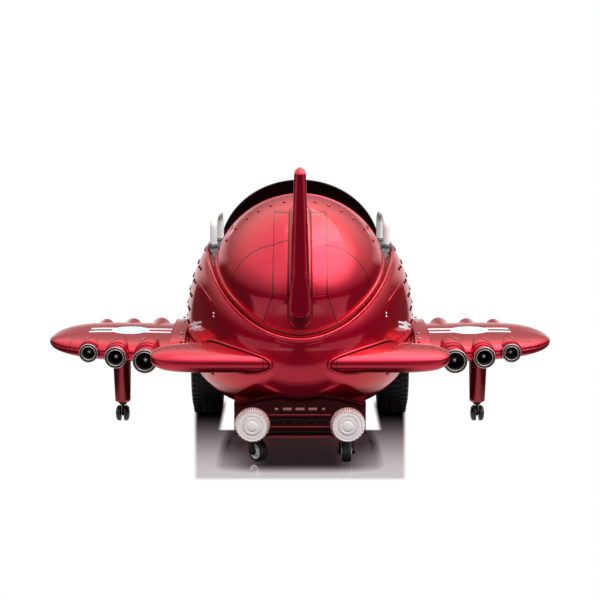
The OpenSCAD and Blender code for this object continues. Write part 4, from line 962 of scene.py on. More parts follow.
def fairing_point(x, t, d):
    """A point d over the deck, at a share of the way from the band's foot at the tail to its front end."""
    r = sqrt(1 - (x / (DECK_R + d)) ** 2)
    a = mix(0, FAIRING_END, max(0, t - 0.06) / 0.94)
    z = mix(FAIRING_FOOT_Z, DECK_Z, t / 0.06) if t <= 0.06 else DECK_Z + (DECK_R + d) * r * sin(a)
    return x, DECK_Y - (DECK_LEN + d) * r * cos(a), z


def fairing_rib(t):
    w = rounded_end(rounded_end(FAIRING_W * (1 - 0.08 * t), 783 * t, 21), 308 * (1 - t), 12)
    rib = []
    for k in linspace(-1, 1, 25):
        x, rise = w * sin(k * pi / 2), 1 - abs(sin(k * pi / 2)) ** 9 * 0.9
        rib.append(fairing_point(x, t, SEAM + (FAIRING_T - SEAM) * rise))
    return rib + [fairing_point(w, t, 1.0), fairing_point(-w, t, 1.0)]


steps = np.concatenate([0.026 * (1 - np.cos(linspace(0, pi / 2, 12))), linspace(0.026, 0.96, 76)[1:],
    1 - 0.04 * (1 - np.sin(linspace(0, pi / 2, 10)))[1:]])
# The band round the fin's foot takes the darker trim red: painted shade on its curved face.
piece(Shape().loft([fairing_rib(t) for t in steps]).object("fairing_band"), paint_trim, "fin_fairing",
    sharp=50)

FIN_FOOT_Z, FIN_TOP_Z, FIN_Y = 352.0, 680.0, -549.0
FIN_FOOT_T, FIN_TOP_T = 23.5, 12.5
FIN_BREAK_Z, FIN_NOSE_Y = 570.0, -470.0
FIN_BREAK_Y = deck_back_y(0, FIN_BREAK_Z, FAIRING_T)
FIN_GAP = FAIRING_T + 0.9
FIN_GROOVES = (590.0, 561.6, 555.0, 527.0, 519.7, 488.8, 411.0)


def fin_ring(z, slim=0.0):
    """A section of the fin with rounded rear edges. Its front follows the deck up to near the top."""
    t = (z - FIN_FOOT_Z) / (FIN_TOP_Z - FIN_FOOT_Z)
    cap = 1 if t < 0.955 else sqrt(max(0.01, 1 - ((t - 0.955) / 0.046) ** 2))
    h = rounded_end(mix(FIN_FOOT_T, FIN_TOP_T + 0.2, t), z - FIN_FOOT_Z, 21) * cap - slim
    rear = FIN_Y + (1 - cap) * 22 + slim
    if z > FIN_BREAK_Z:
        front = mix(FIN_BREAK_Y, FIN_NOSE_Y,
            (z - FIN_BREAK_Z) / (FIN_TOP_Z - 12 - FIN_BREAK_Z)) - (1 - cap) * 30
        side = front - 26
    else:
        front = deck_back_y(0, z, FIN_GAP) - 0.3
        side = deck_back_y(h, z, FIN_GAP) - 0.3
    edge = min(h, 10.0, (side - rear) * 0.48)
    right = [(h - edge + edge * sin(a), rear + edge * (1 - cos(a)), z) for a in linspace(0, pi / 2, 9)]
    right = [(0, rear - 0.15, z), ((h - edge) * 0.5, rear - 0.1, z)] + right
    right += [(h, mix(rear + edge, side, s), z) for s in linspace(0.08, 1, 12)]
    if z > FIN_BREAK_Z:
        right += [(h * cos(a), side + (front - side) * sin(a), z) for a in linspace(0.15, pi / 2, 9)]
    else:
        right += [(h * (1 - s), deck_back_y(h * (1 - s), z, FIN_GAP) - 0.3, z) for s in linspace(0.1, 1, 9)]
    return right + [(-x, y, zz) for x, y, zz in right[-2:0:-1]]


levels = {FIN_FOOT_Z + 21 * (1 - cos(a)) for a in linspace(0, pi / 2, 12)}
levels |= set(linspace(FIN_FOOT_Z + 24, 664, 84)) | set(linspace(664, FIN_TOP_Z - 0.2, 16))
for g in FIN_GROOVES:
    levels = {z for z in levels if abs(z - g) > 2.4}
rings = [fin_ring(z) for z in levels]
for g in FIN_GROOVES:
    rings += [fin_ring(g - 1.0), fin_ring(g - 0.55, 0.95), fin_ring(g + 0.55, 0.95), fin_ring(g + 1.0)]
rings.sort(key=lambda ring: ring[0][2])
piece(Shape().loft(rings).object("fin_blade"), paint, "tail_fin", sharp=34)
foot = [(rounded_end(mix(FIN_FOOT_T, FIN_TOP_T, (z - FIN_FOOT_Z) / 328), z - FIN_FOOT_Z, 21) - 0.4,
    FIN_Y + 1.6, z)
    for z in [FIN_FOOT_Z + 21 * (1 - cos(a)) for a in linspace(0.1, pi / 2, 14)]
    + list(linspace(378, 560, 20))]
bead("fin_foot_bead", [flip(foot[::-1]) + foot], 1.0, paint, 8)


# Hood and windshield


def hood_base_x(y, d=0.0):
    return hull_x(y, nose_rim(y)) - 6 + d


def hood_top(y):
    return mix(HOOD_TOP_Z, HULL_Z + NOSE_R, ((y - HOOD_Y) / (NOSE_Y - HOOD_Y)) ** 1.4)


def hood_z(x, y, d=0.0):
    """Height of the hood's skin, on an arch whose middle is a little below the rim."""
    middle = nose_rim(y) + SEAM - 30
    up = hood_top(y) + d - middle
    share = min(1, abs(x) / hood_base_x(y, d)) * sqrt(1 - (30 / up) ** 2)
    return middle + up * sqrt(max(0, 1 - share ** 2))


def hood_line(y, d):
    return [(hood_base_x(y, d) * cos(a), y, hood_z(hood_base_x(y, d) * cos(a), y, d))
        for a in linspace(0, pi, 73)]


hood = folded_sheet([hood_line(y, 0) + hood_line(y, -WALL)[::-1] for y in linspace(HOOD_Y, NOSE_Y, 46)])
piece(mesh_object("hood_shell", *hood), paint_hood, "front_hood", sharp=50)
bead("hood_edge", [[(x * 0.998, y + 0.4, z - 1.8) for x, y, z in hood_line(HOOD_Y, 0)]], 3.2, paint)
foot_path = [(hood_base_x(y) - 1, y, nose_rim(y) + 1.4) for y in linspace(HOOD_Y + 2, NOSE_Y - 2, 40)]
bead("hood_foot", [foot_path, flip(foot_path)], 1.6, paint, sides=8)
heads = []
for y in (284, 372):
    for a in linspace(0.28, pi - 0.28, 15):
        x = hood_base_x(y) * cos(a)
        z = hood_z(x, y)
        n = Vector((x, 0, z - (nose_rim(y) - 30))).normalized()
        heads.append(((x, y - 7, hood_z(x, y - 7)), n))
copies("hood_rivets", dome_shape(2.6, 1.2), heads, chrome)

SHIELD_W, SHIELD_T = 206.0, 3.0


def shield_rib(a, d):
    """A line up the windshield from its foot on the hood to its top edge, at an angle in plan."""
    x, y = (SHIELD_W + d) * cos(a), HOOD_Y + 12 + (100 + d) * sin(a)
    foot = np.array((x, y, hood_z(x, y) + 0.6))
    low_z, middle = nose_rim(HOOD_Y + 12) + 16, 400
    up = 592 + d - middle
    low = asin((low_z - middle) / up)
    b = mix(low, pi - low, a / pi)
    top = np.array(((SHIELD_W + d + 1) * cos(b) / cos(low), HOOD_Y + 4 + 20 * (1 - sin(b)) / 2,
        middle + up * sin(b)))
    half = mix(foot, top, 0.5)
    half = np.array((half[0] * 1.02, half[1] + 10 * sin(a), half[2] + 10 * sin(a)))
    return [tuple(foot * (1 - t) * (1 - 2 * t) + half * 4 * t * (1 - t) + top * t * (2 * t - 1))
        for t in linspace(0, 1, 21)]


shield = folded_sheet([shield_rib(a, 0) + shield_rib(a, -SHIELD_T)[::-1] for a in linspace(0, pi, 97)])
piece(mesh_object("shield", *shield), black_gloss, "windshield", sharp=50)
tops = [shield_rib(a, -1.5)[-1] for a in linspace(0, pi, 97)]
bead("shield_edge", [tops], 2.2, black_gloss)
feet = [shield_rib(a, 1.0)[0] for a in linspace(0.0, pi, 97)]
bead("shield_foot_bead", [[(x, y, z + 0.6) for x, y, z in feet]], 2.6, black_matte)


# Nose: cowl, engine and its shaft

INTAKE_R = NOSE_R - 40.4
COWL_LEN = 70.0
profile = [(NOSE_R - 18, 0.0), (NOSE_R - 1.5, 0.0), (NOSE_R, 1.2), (NOSE_R, 9), (NOSE_R - 2.2, 10),
    (NOSE_R - 2.2, 12), (NOSE_R - 0.3, 13)]
for s in linspace(0.02, 1, 18):
    profile.append((NOSE_R - 0.3 - 29 * (1 - sqrt(1 - (s * 0.97) ** 2.6)), 13 + (COWL_LEN - 14.5) * s))
profile += [(INTAKE_R + 8, COWL_LEN), (INTAKE_R + 2.5, COWL_LEN - 0.8), (INTAKE_R + 0.5, COWL_LEN - 3),
    (INTAKE_R, COWL_LEN - 6), (INTAKE_R, 16), (NOSE_R - 18, 16)]
cowl = Shape().turned(profile, AXIS_Y, (0, NOSE_Y + SEAM, HULL_Z), steps=144).object("cowl_ring")
piece(cowl, paint, "nose_cowl", sharp=30)
heads = [(((NOSE_R - 0.2) * cos(a), NOSE_Y + SEAM + 5, HULL_Z + (NOSE_R - 0.2) * sin(a)), (cos(a), 0, sin(a)))
    for a in turns(24) + pi / 24]
copies("cowl_bolts", screw_shape(3.6, 1.6), heads, chrome)

FACE_Y, FACE_T = NOSE_Y + 18, 6.0
engine = Shape().turned([(21, 0), (INTAKE_R - 0.3, 0), (INTAKE_R - 0.3, FACE_T), (INTAKE_R - 8, FACE_T),
    (INTAKE_R - 10, FACE_T - 1.5), (56, FACE_T - 1.5), (54, FACE_T), (51.8, FACE_T + 2), (51.8, FACE_T + 9),
    (49, FACE_T + 12), (38, FACE_T + 13.5), (36, FACE_T + 10.5), (27, FACE_T + 10.5), (25, FACE_T + 14),
    (21, FACE_T + 14)], AXIS_Y, (0, FACE_Y, HULL_Z), steps=96)
piece(engine.object("engine_case"), black_matte, "engine_face", sharp=35)


def jug():
    """A finned cylinder of the toy engine, lying along +Y of its own frame with its back at z = 0."""
    shape = Shape()
    length, depth, fins = 66.0, 12.0, 13
    for i in range(fins):
        at = 5 + i * (length - 16) / (fins - 1)
        w = 13.0 if i < fins - 3 else 11.96
        outline = [(-w, 0), (-w, depth * 0.55), (-w * 0.6, depth * 0.92), (0, depth), (w * 0.6, depth * 0.92),
            (w, depth * 0.55), (w, 0)]
        shape.loft([[(x, at + s, z) for x, z in outline] for s in (-1.1, 1.1)])
    core = [(-9.5, 0), (-9.5, 6), (-5, 9), (5, 9), (9.5, 6), (9.5, 0)]
    shape.loft([[(x, y, z) for x, z in core] for y in (0, length)])
    head = [(-11, -0.2), (-11, 7), (-6, 10.6), (6, 10.6), (11, 7), (11, -0.2)]
    shape.loft([[(x * s, y, z) for x, z in head] for y, s in ((length - 9, 1), (length, 1),
        (length + 3, 0.7))])
    for x in (-5.5, 5.5):
        shape.loft([[(x + 1.7 * cos(a), y, 10.6 + 1.4 * sin(a)) for a in turns(8)] for y in (-3, length - 6)])
    return tidy(shape.object("jug_shape"), 40)


spots = [((56 * sin(a), FACE_Y + FACE_T, HULL_Z + 56 * cos(a)), (0, 1, 0), pi - a) for a in turns(9)]
copies("engine_jugs", jug(), spots, grey_matte)
heads = [((44 * cos(a), FACE_Y + FACE_T + 12.6, HULL_Z + 44 * sin(a)), (0, 1, 0)) for a in turns(12)]
copies("crankcase_bolts", screw_shape(2.6, 1.6), heads, steel)


# Propeller and spinner

PROP_Y, HUB_H = 488.0, 13.0
hub = Shape().turned([(4.6, -HUB_H), (24, -HUB_H), (28, -HUB_H + 1.5), (30, -HUB_H + 5), (30, HUB_H - 5),
    (28.5, HUB_H - 1.5), (26, HUB_H), (4.6, HUB_H)], AXIS_Y, (0, PROP_Y, HULL_Z), steps=72)


def blade_ring(r):
    """A section of a propeller blade: broad and steep near the hub, narrow and flat at the tip."""
    s = (r - 24) / (176 - 24)
    chord = (21 + 22 * sin(pi * min(1, s * 1.12)) ** 0.8) * sqrt(
        max(0.012, 1 - max(0, (s - 0.72) / 0.281) ** 2.6))
    thick = mix(5.0, 2.0, s) * (1 if s < 0.97 else 0.6)
    pitch = radians(mix(27, 12, s))
    ring = []
    for a in turns(20):
        u, v = chord / 2 * cos(a), thick / 2 * sin(a) * (1 + 0.35 * cos(a))
        ring.append((u * cos(pitch) - v * sin(pitch), u * sin(pitch) + v * cos(pitch), r))
    return ring


blade = [blade_ring(r) for r in np.concatenate([linspace(24, 150, 24), linspace(155, 176, 12)])]
for k in range(3):
    hub.loft(blade, rotation(120 * k, "Y"), (0, PROP_Y, HULL_Z))
    hub.turned([(0.01, 20), (11, 20), (12.5, 22), (12.5, 32), (10.5, 34), (0.01, 34)],
        rotation(120 * k, "Y"), (0, PROP_Y, HULL_Z), steps=28, close=False)
piece(hub.object("propeller_blades"), black_gloss, "propeller", sharp=40, body="propeller_unit")
profile = [(0.02, 0), (42, 0), (44, 1.5), (44, 4), (43, 4.8), (43, 6), (44 * 0.995, 6.6)]
profile += [(44 * cos(a), 59 * sin(a)) for a in linspace(0.13, pi / 2 * 0.995, 26)]
cap = Shape().turned(profile + [(0.02, 59)], AXIS_Y, (0, 501, HULL_Z), steps=72, close=False)
piece(cap.object("spinner_cap"), chrome, "spinner", sharp=35, body="propeller_unit")


# Wings with their engine tubes


def plank(power, count):
    """Points of a rounded section from its front round over the top, evenly spaced, within a unit box."""
    a = linspace(0, 2 * pi, 721)
    x, z = (np.sign(v) * np.abs(v) ** (2 / power) for v in (np.cos(a), np.sin(a)))
    length = np.concatenate([[0], np.cumsum(np.hypot(np.diff(x) * 5, np.diff(z)))])
    wanted = linspace(0, length[-1], count + 1)[:-1]
    return np.stack([np.interp(wanted, length, x), np.interp(wanted, length, z)], axis=1)


WING_ROOT_X, WING_TIP_X, WING_FRONT_Y, WING_REAR_Y = 312.0, 630.0, 40.0, -282.0
WING_Z, WING_T = 206.0, 28.0
LEG_X, LEG_Y = 450.0, -130.0
WING_POWER = 3.2
WING_SECTION = plank(WING_POWER, 96)


def wing_front(t):
    return WING_FRONT_Y - (WING_FRONT_Y - LEG_Y - 10) * (1 - sqrt(1 - t ** 6 * 0.999))


def wing_rear(t):
    return WING_REAR_Y + (LEG_Y + 10 - WING_REAR_Y) * (1 - sqrt(1 - t ** 2.6 * 0.999))


def wing_half_t(t):
    return WING_T * sqrt(1 - t ** 5 * 0.97)


def wing_mid(t):
    return WING_Z + 6 * t


def wing_share(x):
    return (x - WING_ROOT_X) / (WING_TIP_X - WING_ROOT_X)


def wing_ring(t):
    rear, front, half, middle = wing_rear(t), wing_front(t), wing_half_t(t), wing_mid(t)
    return [(mix(WING_ROOT_X, WING_TIP_X, t), mix(rear, front, (u + 1) / 2), middle + half * v)
        for u, v in WING_SECTION]


# Middle, radius and rear end of the tubes of one wing
TUBES = [(368.0, 27.0, -340.0), (442.0, 24.0, -306.0), (513.0, 21.0, -262.0)]
TUBE_FRONT, TUBE_DEPTH = 60.0, 44.0
shares = np.concatenate([linspace(0, 0.9, 46), 1 - 0.1 * (1 - linspace(0, 1, 22)[1:]) ** 1.8])
skin, tubes = Shape(), Shape()
skin.loft([wing_ring(t) for t in shares])


def collar(x, z, r, hole, rear, front, skirt):
    """A hollow arch over a tube, square under it and round above, with a rounded rear edge."""
    angles = linspace(0, pi, 33)
    inner = [(hole, -skirt)] + [(hole * cos(a), hole * sin(a)) for a in angles] + [(-hole, -skirt)]
    rings = []
    for y, grow in ((rear, -2.2), (rear + 0.8, -0.7), (rear + 2.4, 0.0), (front, 0.0)):
        outer = [(r + grow, -skirt)] + [((r + grow) * cos(a), (r + grow) * sin(a)) for a in angles]
        outer.append((-r - grow, -skirt))
        rings.append([(x + u, y, z + w) for u, w in outer + inner[::-1]])
    return loft_mesh(rings)


for x, r, rear in TUBES:
    z = wing_mid(wing_share(x))
    profile = [(0.02, rear + TUBE_DEPTH), (r - 4, rear + TUBE_DEPTH), (r - 4, rear + 0.8), (r - 3.4, rear),
        (r - 0.8, rear), (r, rear + 0.8), (r, rear + 9), (r + 0.9, rear + 10), (r + 0.9, rear + 13),
        (r, rear + 14), (r, TUBE_FRONT)]
    profile += [(r * cos(a), TUBE_FRONT + r * sin(a)) for a in linspace(0.1, pi / 2 * 0.998, 16)]
    profile.append((0.02, TUBE_FRONT + r))
    tubes.turned(profile, AXIS_Y, (x, 0, z), steps=72, close=False)
    edge = wing_rear(wing_share(x))
    tubes.add(*collar(x, z, r + 7.0, r - 0.6, edge - 2, edge + 62, r * 0.2))
    tubes.add(*collar(x, z, r + 3.6, r - 0.6, max(edge - 12, rear + 3), edge + 30, r * 0.5))
bores = Shape()
for x, r, rear in TUBES:
    z = wing_mid(wing_share(x))
    bores.loft([[(x + (r - 2) * cos(a), y, z + (r - 2) * sin(a)) for a in turns(48)]
        for y in (rear - 8, rear + TUBE_DEPTH + 1)])
wings = tidy(skin.mirrored().object("wing_skins"))
cut(wings, tidy(bores.mirrored().object("bore_cutter")))
piece(wings, paint_wing, "left_wing", "right_wing", sharp=33)
piece(tubes.mirrored().object("engine_tubes"), paint, sharp=33)

# Seam along the wing's edge, and rivets on top
seam = [(mix(WING_ROOT_X, WING_TIP_X, t), wing_rear(t) - 0.1, wing_mid(t)) for t in linspace(0.0, 0.99, 60)]
seam += [(mix(WING_ROOT_X, WING_TIP_X, t), wing_front(t) + 0.1, wing_mid(t)) for t in linspace(0.99, 0.0, 60)]
bead("wing_seam", [seam, flip(seam)], 0.9, paint, sides=6)
heads = []
for s in (-1, 1):
    for x in np.arange(330, 560, 16.0):
        t = wing_share(x)
        for y in (-216, 6):
            u = (y - wing_rear(t)) / (wing_front(t) - wing_rear(t)) * 2 - 1
            if abs(u) < 0.93:
                top = wing_mid(t) + wing_half_t(t) * (1 - abs(u) ** WING_POWER) ** (1 / WING_POWER)
                heads.append(((s * x, y, top - 0.1), (0, 0, 1)))
copies("wing_rivets", dome_shape(1.9, 0.9, 10, 2), heads, paint_trim)

# Cuffs round the wing roots
ROOT_RISE = 13.0


def root_ring(x_of, rise):
    """The wing's section, wider by a rise, as a ring at a distance from the middle that x_of(y, z) gives."""
    ring = []
    for u, v in WING_SECTION:
        y = mix(WING_REAR_Y - rise, WING_FRONT_Y + rise, (u + 1) / 2)
        z = WING_Z + (WING_T + rise) * v
        ring.append((x_of(y, z), y, z))
    return ring


def band(y):
    """Distance of the cuff's raised band from the middle."""
    return mix(276, 291, clip01((y - WING_REAR_Y) / (WING_FRONT_Y - WING_REAR_Y)))


def off_hull(gap, past=-100.0):
    """A distance from the middle that is past the cuff's band, and outside the hull's skin by a gap."""
    return lambda y, z: max(hull_x(y, z) + gap, band(y) + past)


bands = [(off_hull(1.0), 7.5), (off_hull(1.2, -6), 7.5), (off_hull(1.4, -4.5), 8.2), (off_hull(1.6, -3), 6.0),
    (off_hull(1.8, 0), 6.0), (off_hull(2.0, 1.5), 11.5), (off_hull(2.2, 3.5), 13.0)]
bands += [(lambda y, z, x=x: x, rise) for x, rise in (
    (316.0, 13.0), (318.0, 12.2), (319.0, 10.2), (319.0, 1.0))]
cuffs = Shape().loft([root_ring(f, rise) for f, rise in bands], caps=False).mirrored().object("root_cuffs")
piece(cuffs, paint, "wing_roots", sharp=32)
heads = [((s * (band(y) + 12), y, WING_Z + WING_T + ROOT_RISE - 0.2 - 6 * abs((y + 121) / 174) ** 6),
    (0, 0, 1)) for s in (-1, 1) for y in (-262, -210, -60, 0)]
edge = root_ring(lambda y, z: 318.2, 12.9)
gap = root_ring(off_hull(1.6, 1.2), 9.5)
bead("cuff_edges", [edge, flip(edge)], 1.1, paint, 8, True)
bead("cuff_seams", [gap, flip(gap)], 2.2, paint_dark, 8, True)
copies("cuff_screws", screw_shape(4.2, 2.0), heads, steel)

# Nozzles: a dark mouth with two thin bright rings, a bore with vanes and a small bright middle
mouths, bores, circles = Shape(), Shape(), []
for x, r, rear in TUBES:
    z = wing_mid(wing_share(x))
    profile = [(r - 4.3, 8), (r - 4.3, 0), (r - 0.3, 0), (r + 1.6, -0.8), (r + 1.9, -3), (r + 1.9, -9),
        (r + 0.6, -10.6), (r - 1.4, -9.6), (r - 3, -9.2), (r - 5.4, -9.4), (r - 6.6, -8), (r - 7, -4),
        (r - 7, 8)]
    mouths.turned([(a, -b) for a, b in profile], AXIS_BACK, (x, rear, z), steps=72)
    bores.turned([(0.02, -40), (r - 4.4, -40), (r - 4.4, 3), (r - 5.4, 3), (r - 5.9, -14), (r - 6.2, -34),
        (0.02, -34)], AXIS_BACK, (x, rear, z), steps=60, close=False)
    bores.turned([(0.02, -34), (6.2, -34), (6.2, -10), (5.0, -7), (0.02, -7)], AXIS_BACK, (x, rear, z),
        steps=24, close=False)
    for radius, y in ((r + 0.9, rear - 9.6), (r - 4.6, rear - 9.0)):
        circles += [[(s * x + radius * cos(a), y, z + radius * sin(a)) for a in turns(72)] for s in (-1, 1)]
piece(mouths.mirrored().object("nozzle_mouths"), black_matte, "nozzle_rings", sharp=35)
bead("nozzle_rims", circles, 0.95, satin, 10, True)
piece(bores.mirrored().object("nozzle_bores"), bore_grey, "nozzle_cores", sharp=35)


def vane_shape():
    points, faces = loft_mesh([[(-0.45, -6, z), (0.45, -6, z), (0.45, 6, z), (-0.45, 6, z)]
        for z in (0, 11.5)])
    return tidy(mesh_object("vane_shape", points, faces))


spots = []
for s in (-1, 1):
    for x, r, rear in TUBES:
        z = wing_mid(wing_share(x))
        spots += [((s * x + 5.6 * cos(a), rear + 13, z + 5.6 * sin(a)), (cos(a), 0, sin(a)), 0.0,
            (r - 11.6) / 11.5) for a in turns(18)]
copies("nozzle_vanes", vane_shape(), spots, steel, slot="grey_matte")
spots = [((s * x, rear + 7.5, wing_mid(wing_share(x))), (0, -1, 0)) for s in (-1, 1) for x, r, rear in TUBES]
copies("nozzle_hubs", dome_shape(4.6, 3.2, 16, 4), spots, satin)


# Wing legs with their plates, and the twin-wheel casters under them

LEG_T = wing_share(LEG_X)
LEG_TOP_Z = wing_mid(LEG_T) - wing_half_t(LEG_T) - 0.9
legs = Shape()
profile = [(5.3, 54), (14, 54), (17, 54.6), (18.8, 56), (19.6, 58.4)]
profile += [(mix(19.6, 22.5, (z - 58.4) / (LEG_TOP_Z - 68)), z) for z in linspace(62, LEG_TOP_Z - 12, 10)]
profile += [(24, LEG_TOP_Z - 10.5), (28, LEG_TOP_Z - 10), (29, LEG_TOP_Z - 9), (29, LEG_TOP_Z),
    (5.3, LEG_TOP_Z)]
for s in (-1, 1):
    legs.turned(profile, None, (s * LEG_X, LEG_Y, 0), steps=60)
piece(legs.object("leg_columns"), paint_trim, "wing_legs", sharp=38)
plate = Shape()
for s in (-1, 1):
    outline = [(s * (LEG_X + a), LEG_Y + b) for a, b in ((-33, -28), (33, -28), (33, 28), (-33, 28))]
    plate.loft([[(x, y, z) for x, y in outline] for z in (LEG_TOP_Z - 7.5, LEG_TOP_Z - 2)])
piece(plate.object("leg_brackets"), black_matte)
heads = [((s * (LEG_X + a), LEG_Y + b, LEG_TOP_Z - 7.4), (0, 0, -1)) for s in (-1, 1) for a in (-28, 28)
    for b in (-22, 22)]
copies("bracket_screws", screw_shape(3.2, 1.8), heads, steel)

TWIN_R, TWIN_TRAIL, TWIN_WEB, TWIN_LIFT = 20.0, 7.0, 7.0, 6.0
TWIN_Z = TWIN_LIFT + TWIN_R
for side, s in SIDES:
    fork = Shape()
    at = (s * LEG_X, LEG_Y, 0)
    fork.turned([(0.02, 45), (5, 45), (5, 53), (9, 52.6), (9.6, 51.5), (9.6, 49), (9, 47.6), (0.02, 47)],
        None, at, 32, close=False)
    fork.rod(4.95, 53, 90, None, at)
    web = [(3.5 * cos(a), 3.5 * sin(a)) for a in turns(16)]
    low = [(3.2 * cos(a), -TWIN_TRAIL + 6.5 * sin(a)) for a in turns(16)]
    fork.loft([[(x, y - 1.5, 49) for x, y in web], [(x, y * 1.6 - 2.5, 42) for x, y in web],
        [(x, y, TWIN_Z) for x, y in low], [(x * 0.8, y * 0.7 - 2, TWIN_Z - 6) for x, y in low]], None, at)
    fork.turned([(0.02, -16.2), (2.6, -16.2), (3.0, -15.6), (3.0, 15.6), (2.6, 16.2), (0.02, 16.2)], AXIS_X,
        (s * LEG_X, LEG_Y - TWIN_TRAIL, TWIN_Z), 24, close=False)
    piece(fork.object(side + "_wing_caster_fork"), black_matte, side + "_wing_fork", sharp=38,
        body=side + "_wing_caster")
    wheels = Shape()
    for k in (-1, 1):
        profile = [(3.1, 0)] + [(TWIN_R - a, b) for a, b in ((2, 0), (0.6, 0.9), (0, 3), (0.1, 5), (0.7, 7),
            (2.2, 9.4), (4.2, 11), (5.4, 11.4), (6, 10.6), (7, 10.6), (8.4, 12))]
        profile += [(8.2, 12.8), (7.2, 12.2), (6.4, 11.6), (3.1, 11.6)]
        matrix = AXIS_X if k > 0 else rotation(-90, "Y")
        wheels.turned(profile, matrix, (s * LEG_X + k * (TWIN_WEB / 2 + 0.5), LEG_Y - TWIN_TRAIL, TWIN_Z), 60)
    piece(wheels.object(side + "_wing_caster_treads"), black_gloss, side + "_wing_wheels", sharp=35,
        body=side + "_wing_caster_wheels")
    spots = [((s * LEG_X + k * 16.3, LEG_Y - TWIN_TRAIL, TWIN_Z), (k, 0, 0)) for k in (-1, 1)]
    copies(side + "_wing_caster_caps", dome_shape(3.4, 1.6, 16, 3), spots, steel, body=side + "_wing_caster")


# Stabilizers

STAB_T, STAB_Z, STAB_TIP_X, STAB_FRONT_Y, STAB_REAR_Y = 23.0, 252.0, 338.0, -392.0, -546.0
STAB_SECTION = plank(2.6, 80)


def stab_ring(s):
    front = mix(STAB_FRONT_Y, -446, s) - 44 * (1 - sqrt(1 - s ** 8 * 0.999))
    rear = STAB_REAR_Y + 46 * (1 - sqrt(1 - s ** 9 * 0.999))
    half = STAB_T * mix(1, 0.94, s) * sqrt(1 - s ** 7 * 0.93)
    ring = []
    for u, v in STAB_SECTION:
        share = half / STAB_T
        drop = 3.5 * (1 - u) * share + (8 * -v * share if v < 0 else 0)
        root = hull_x(mix(STAB_REAR_Y, STAB_FRONT_Y, (u + 1) / 2), STAB_Z + STAB_T * v - drop / share) + SEAM
        ring.append((mix(root, STAB_TIP_X, s), mix(rear, front, (u + 1) / 2), STAB_Z + half * v - drop))
    return ring


shares = np.concatenate([linspace(0, 0.85, 30), 1 - 0.15 * (1 - linspace(0, 1, 24)[1:]) ** 1.7])
stab = Shape().loft([stab_ring(s) for s in shares]).mirrored().object("stabilizer_skins")
piece(stab, paint_stab, "left_stabilizer", "right_stabilizer", sharp=33)
root = [(x + 0.4, y, z) for x, y, z in stab_ring(0.008)]
grown = [(x, (y + 469) * 1.045 - 469, (z - STAB_Z + 8) * 1.1 + STAB_Z - 8) for x, y, z in root]
bead("stabilizer_root_bead", [grown, flip(grown)], 2.6, paint, 8, True)
groove = [(x + 2.4, (y + 469) * 1.012 - 469, (z - STAB_Z + 8) * 1.03 + STAB_Z - 8)
    for x, y, z in stab_ring(0.02)]
bead("stabilizer_root_seam", [groove, flip(groove)], 1.5, paint_dark, 8, True)
heads = []
for s in (-1, 1):
    heads += [((s * x, -484, STAB_Z + STAB_T * mix(1, 0.94, (x - 60) / 278) - 0.25), (0, 0, 1))
        for x in linspace(118, 300, 9)]
    heads += [((s * 90, y, STAB_Z + STAB_T * 0.985 - 0.8), (0, 0, 1)) for y in (-520, -440)]
copies("stabilizer_rivets", dome_shape(2.0, 0.9, 10, 2), heads, paint_trim)


# Rear bumper with its bars, slots and grille

BUMPER_Y, BUMPER_FRONT, BUMPER_W, BUMPER_Z, BUMPER_TOP_Z = -534.0, -404.0, 149.0, 76.0, 149.0
LAMP_X, LAMP_Z = 107.0, 104.0


def bumper_top(x, y):
    return min(BUMPER_TOP_Z + 26 * (1 - (x / BUMPER_W) ** 2), belly_z(x, y) - 1.8)


def bumper_section(x, shrink=0.0):
    """The bumper's outline seen from the side, with a rounded lower rear edge."""
    over = max(0, abs(x) - (BUMPER_W - 16)) / 16
    back = BUMPER_Y + 16 * (1 - sqrt(max(0, 1 - over ** 2))) + shrink
    low = BUMPER_Z + 3.5 * (1 - sqrt(max(0, 1 - over ** 2)))
    points = [(x, back + 7 - 7 * sin(a), low + 7 - 7 * cos(a)) for a in linspace(0, pi / 2, 7)]
    points += [(x, back, z) for z in linspace(low + 12, bumper_top(x, back) - 3, 10)]
    points += [(x, back + 1.0, bumper_top(x, back) - 1.0)]
    points += [(x, y, bumper_top(x, y)) for y in linspace(back + 3, BUMPER_FRONT, 16)]
    points += [(x, BUMPER_FRONT, z) for z in linspace(bumper_top(x, BUMPER_FRONT) - 6, low + 3, 5)]
    points += [(x, BUMPER_FRONT - 3, low)]
    return points


over = np.sin(linspace(0, pi / 2 * 0.985, 9))
xs = np.concatenate([linspace(0, BUMPER_W - 16, 22)[:-1], BUMPER_W - 16 + 16 * over])
xs = np.concatenate([-xs[::-1], xs[1:]])
bumper = Shape().loft([bumper_section(x) for x in xs]).object("bumper_shell")
tidy(bumper)


def slot_shape(w, h, depth):
    """A rounded slot cutter that runs along +Z of its own frame."""
    r = h * 0.3
    outline = []
    for cx, cy, start in ((w / 2 - r, h / 2 - r, 0), (-w / 2 + r, h / 2 - r, 90),
            (-w / 2 + r, -h / 2 + r, 180), (w / 2 - r, -h / 2 + r, 270)):
        outline += [(cx + r * cos(radians(start + a)), cy + r * sin(radians(start + a)))
            for a in (0, 30, 60, 90)]
    return tidy(mesh_object("slot_shape", *loft_mesh([[(x, y, z) for x, y in outline] for z in (0, depth)])))


spots = [((x, BUMPER_Y + 9, z), (0, -1, 0)) for z in (85, 109.8) for x in (-50, -25, 0, 25, 50)]
cutter = copies("slot_cutter", slot_shape(19.5, 9, 24), spots, paint_dark, slot="body_red")
cutter.parent = None
cut(bumper, cutter)
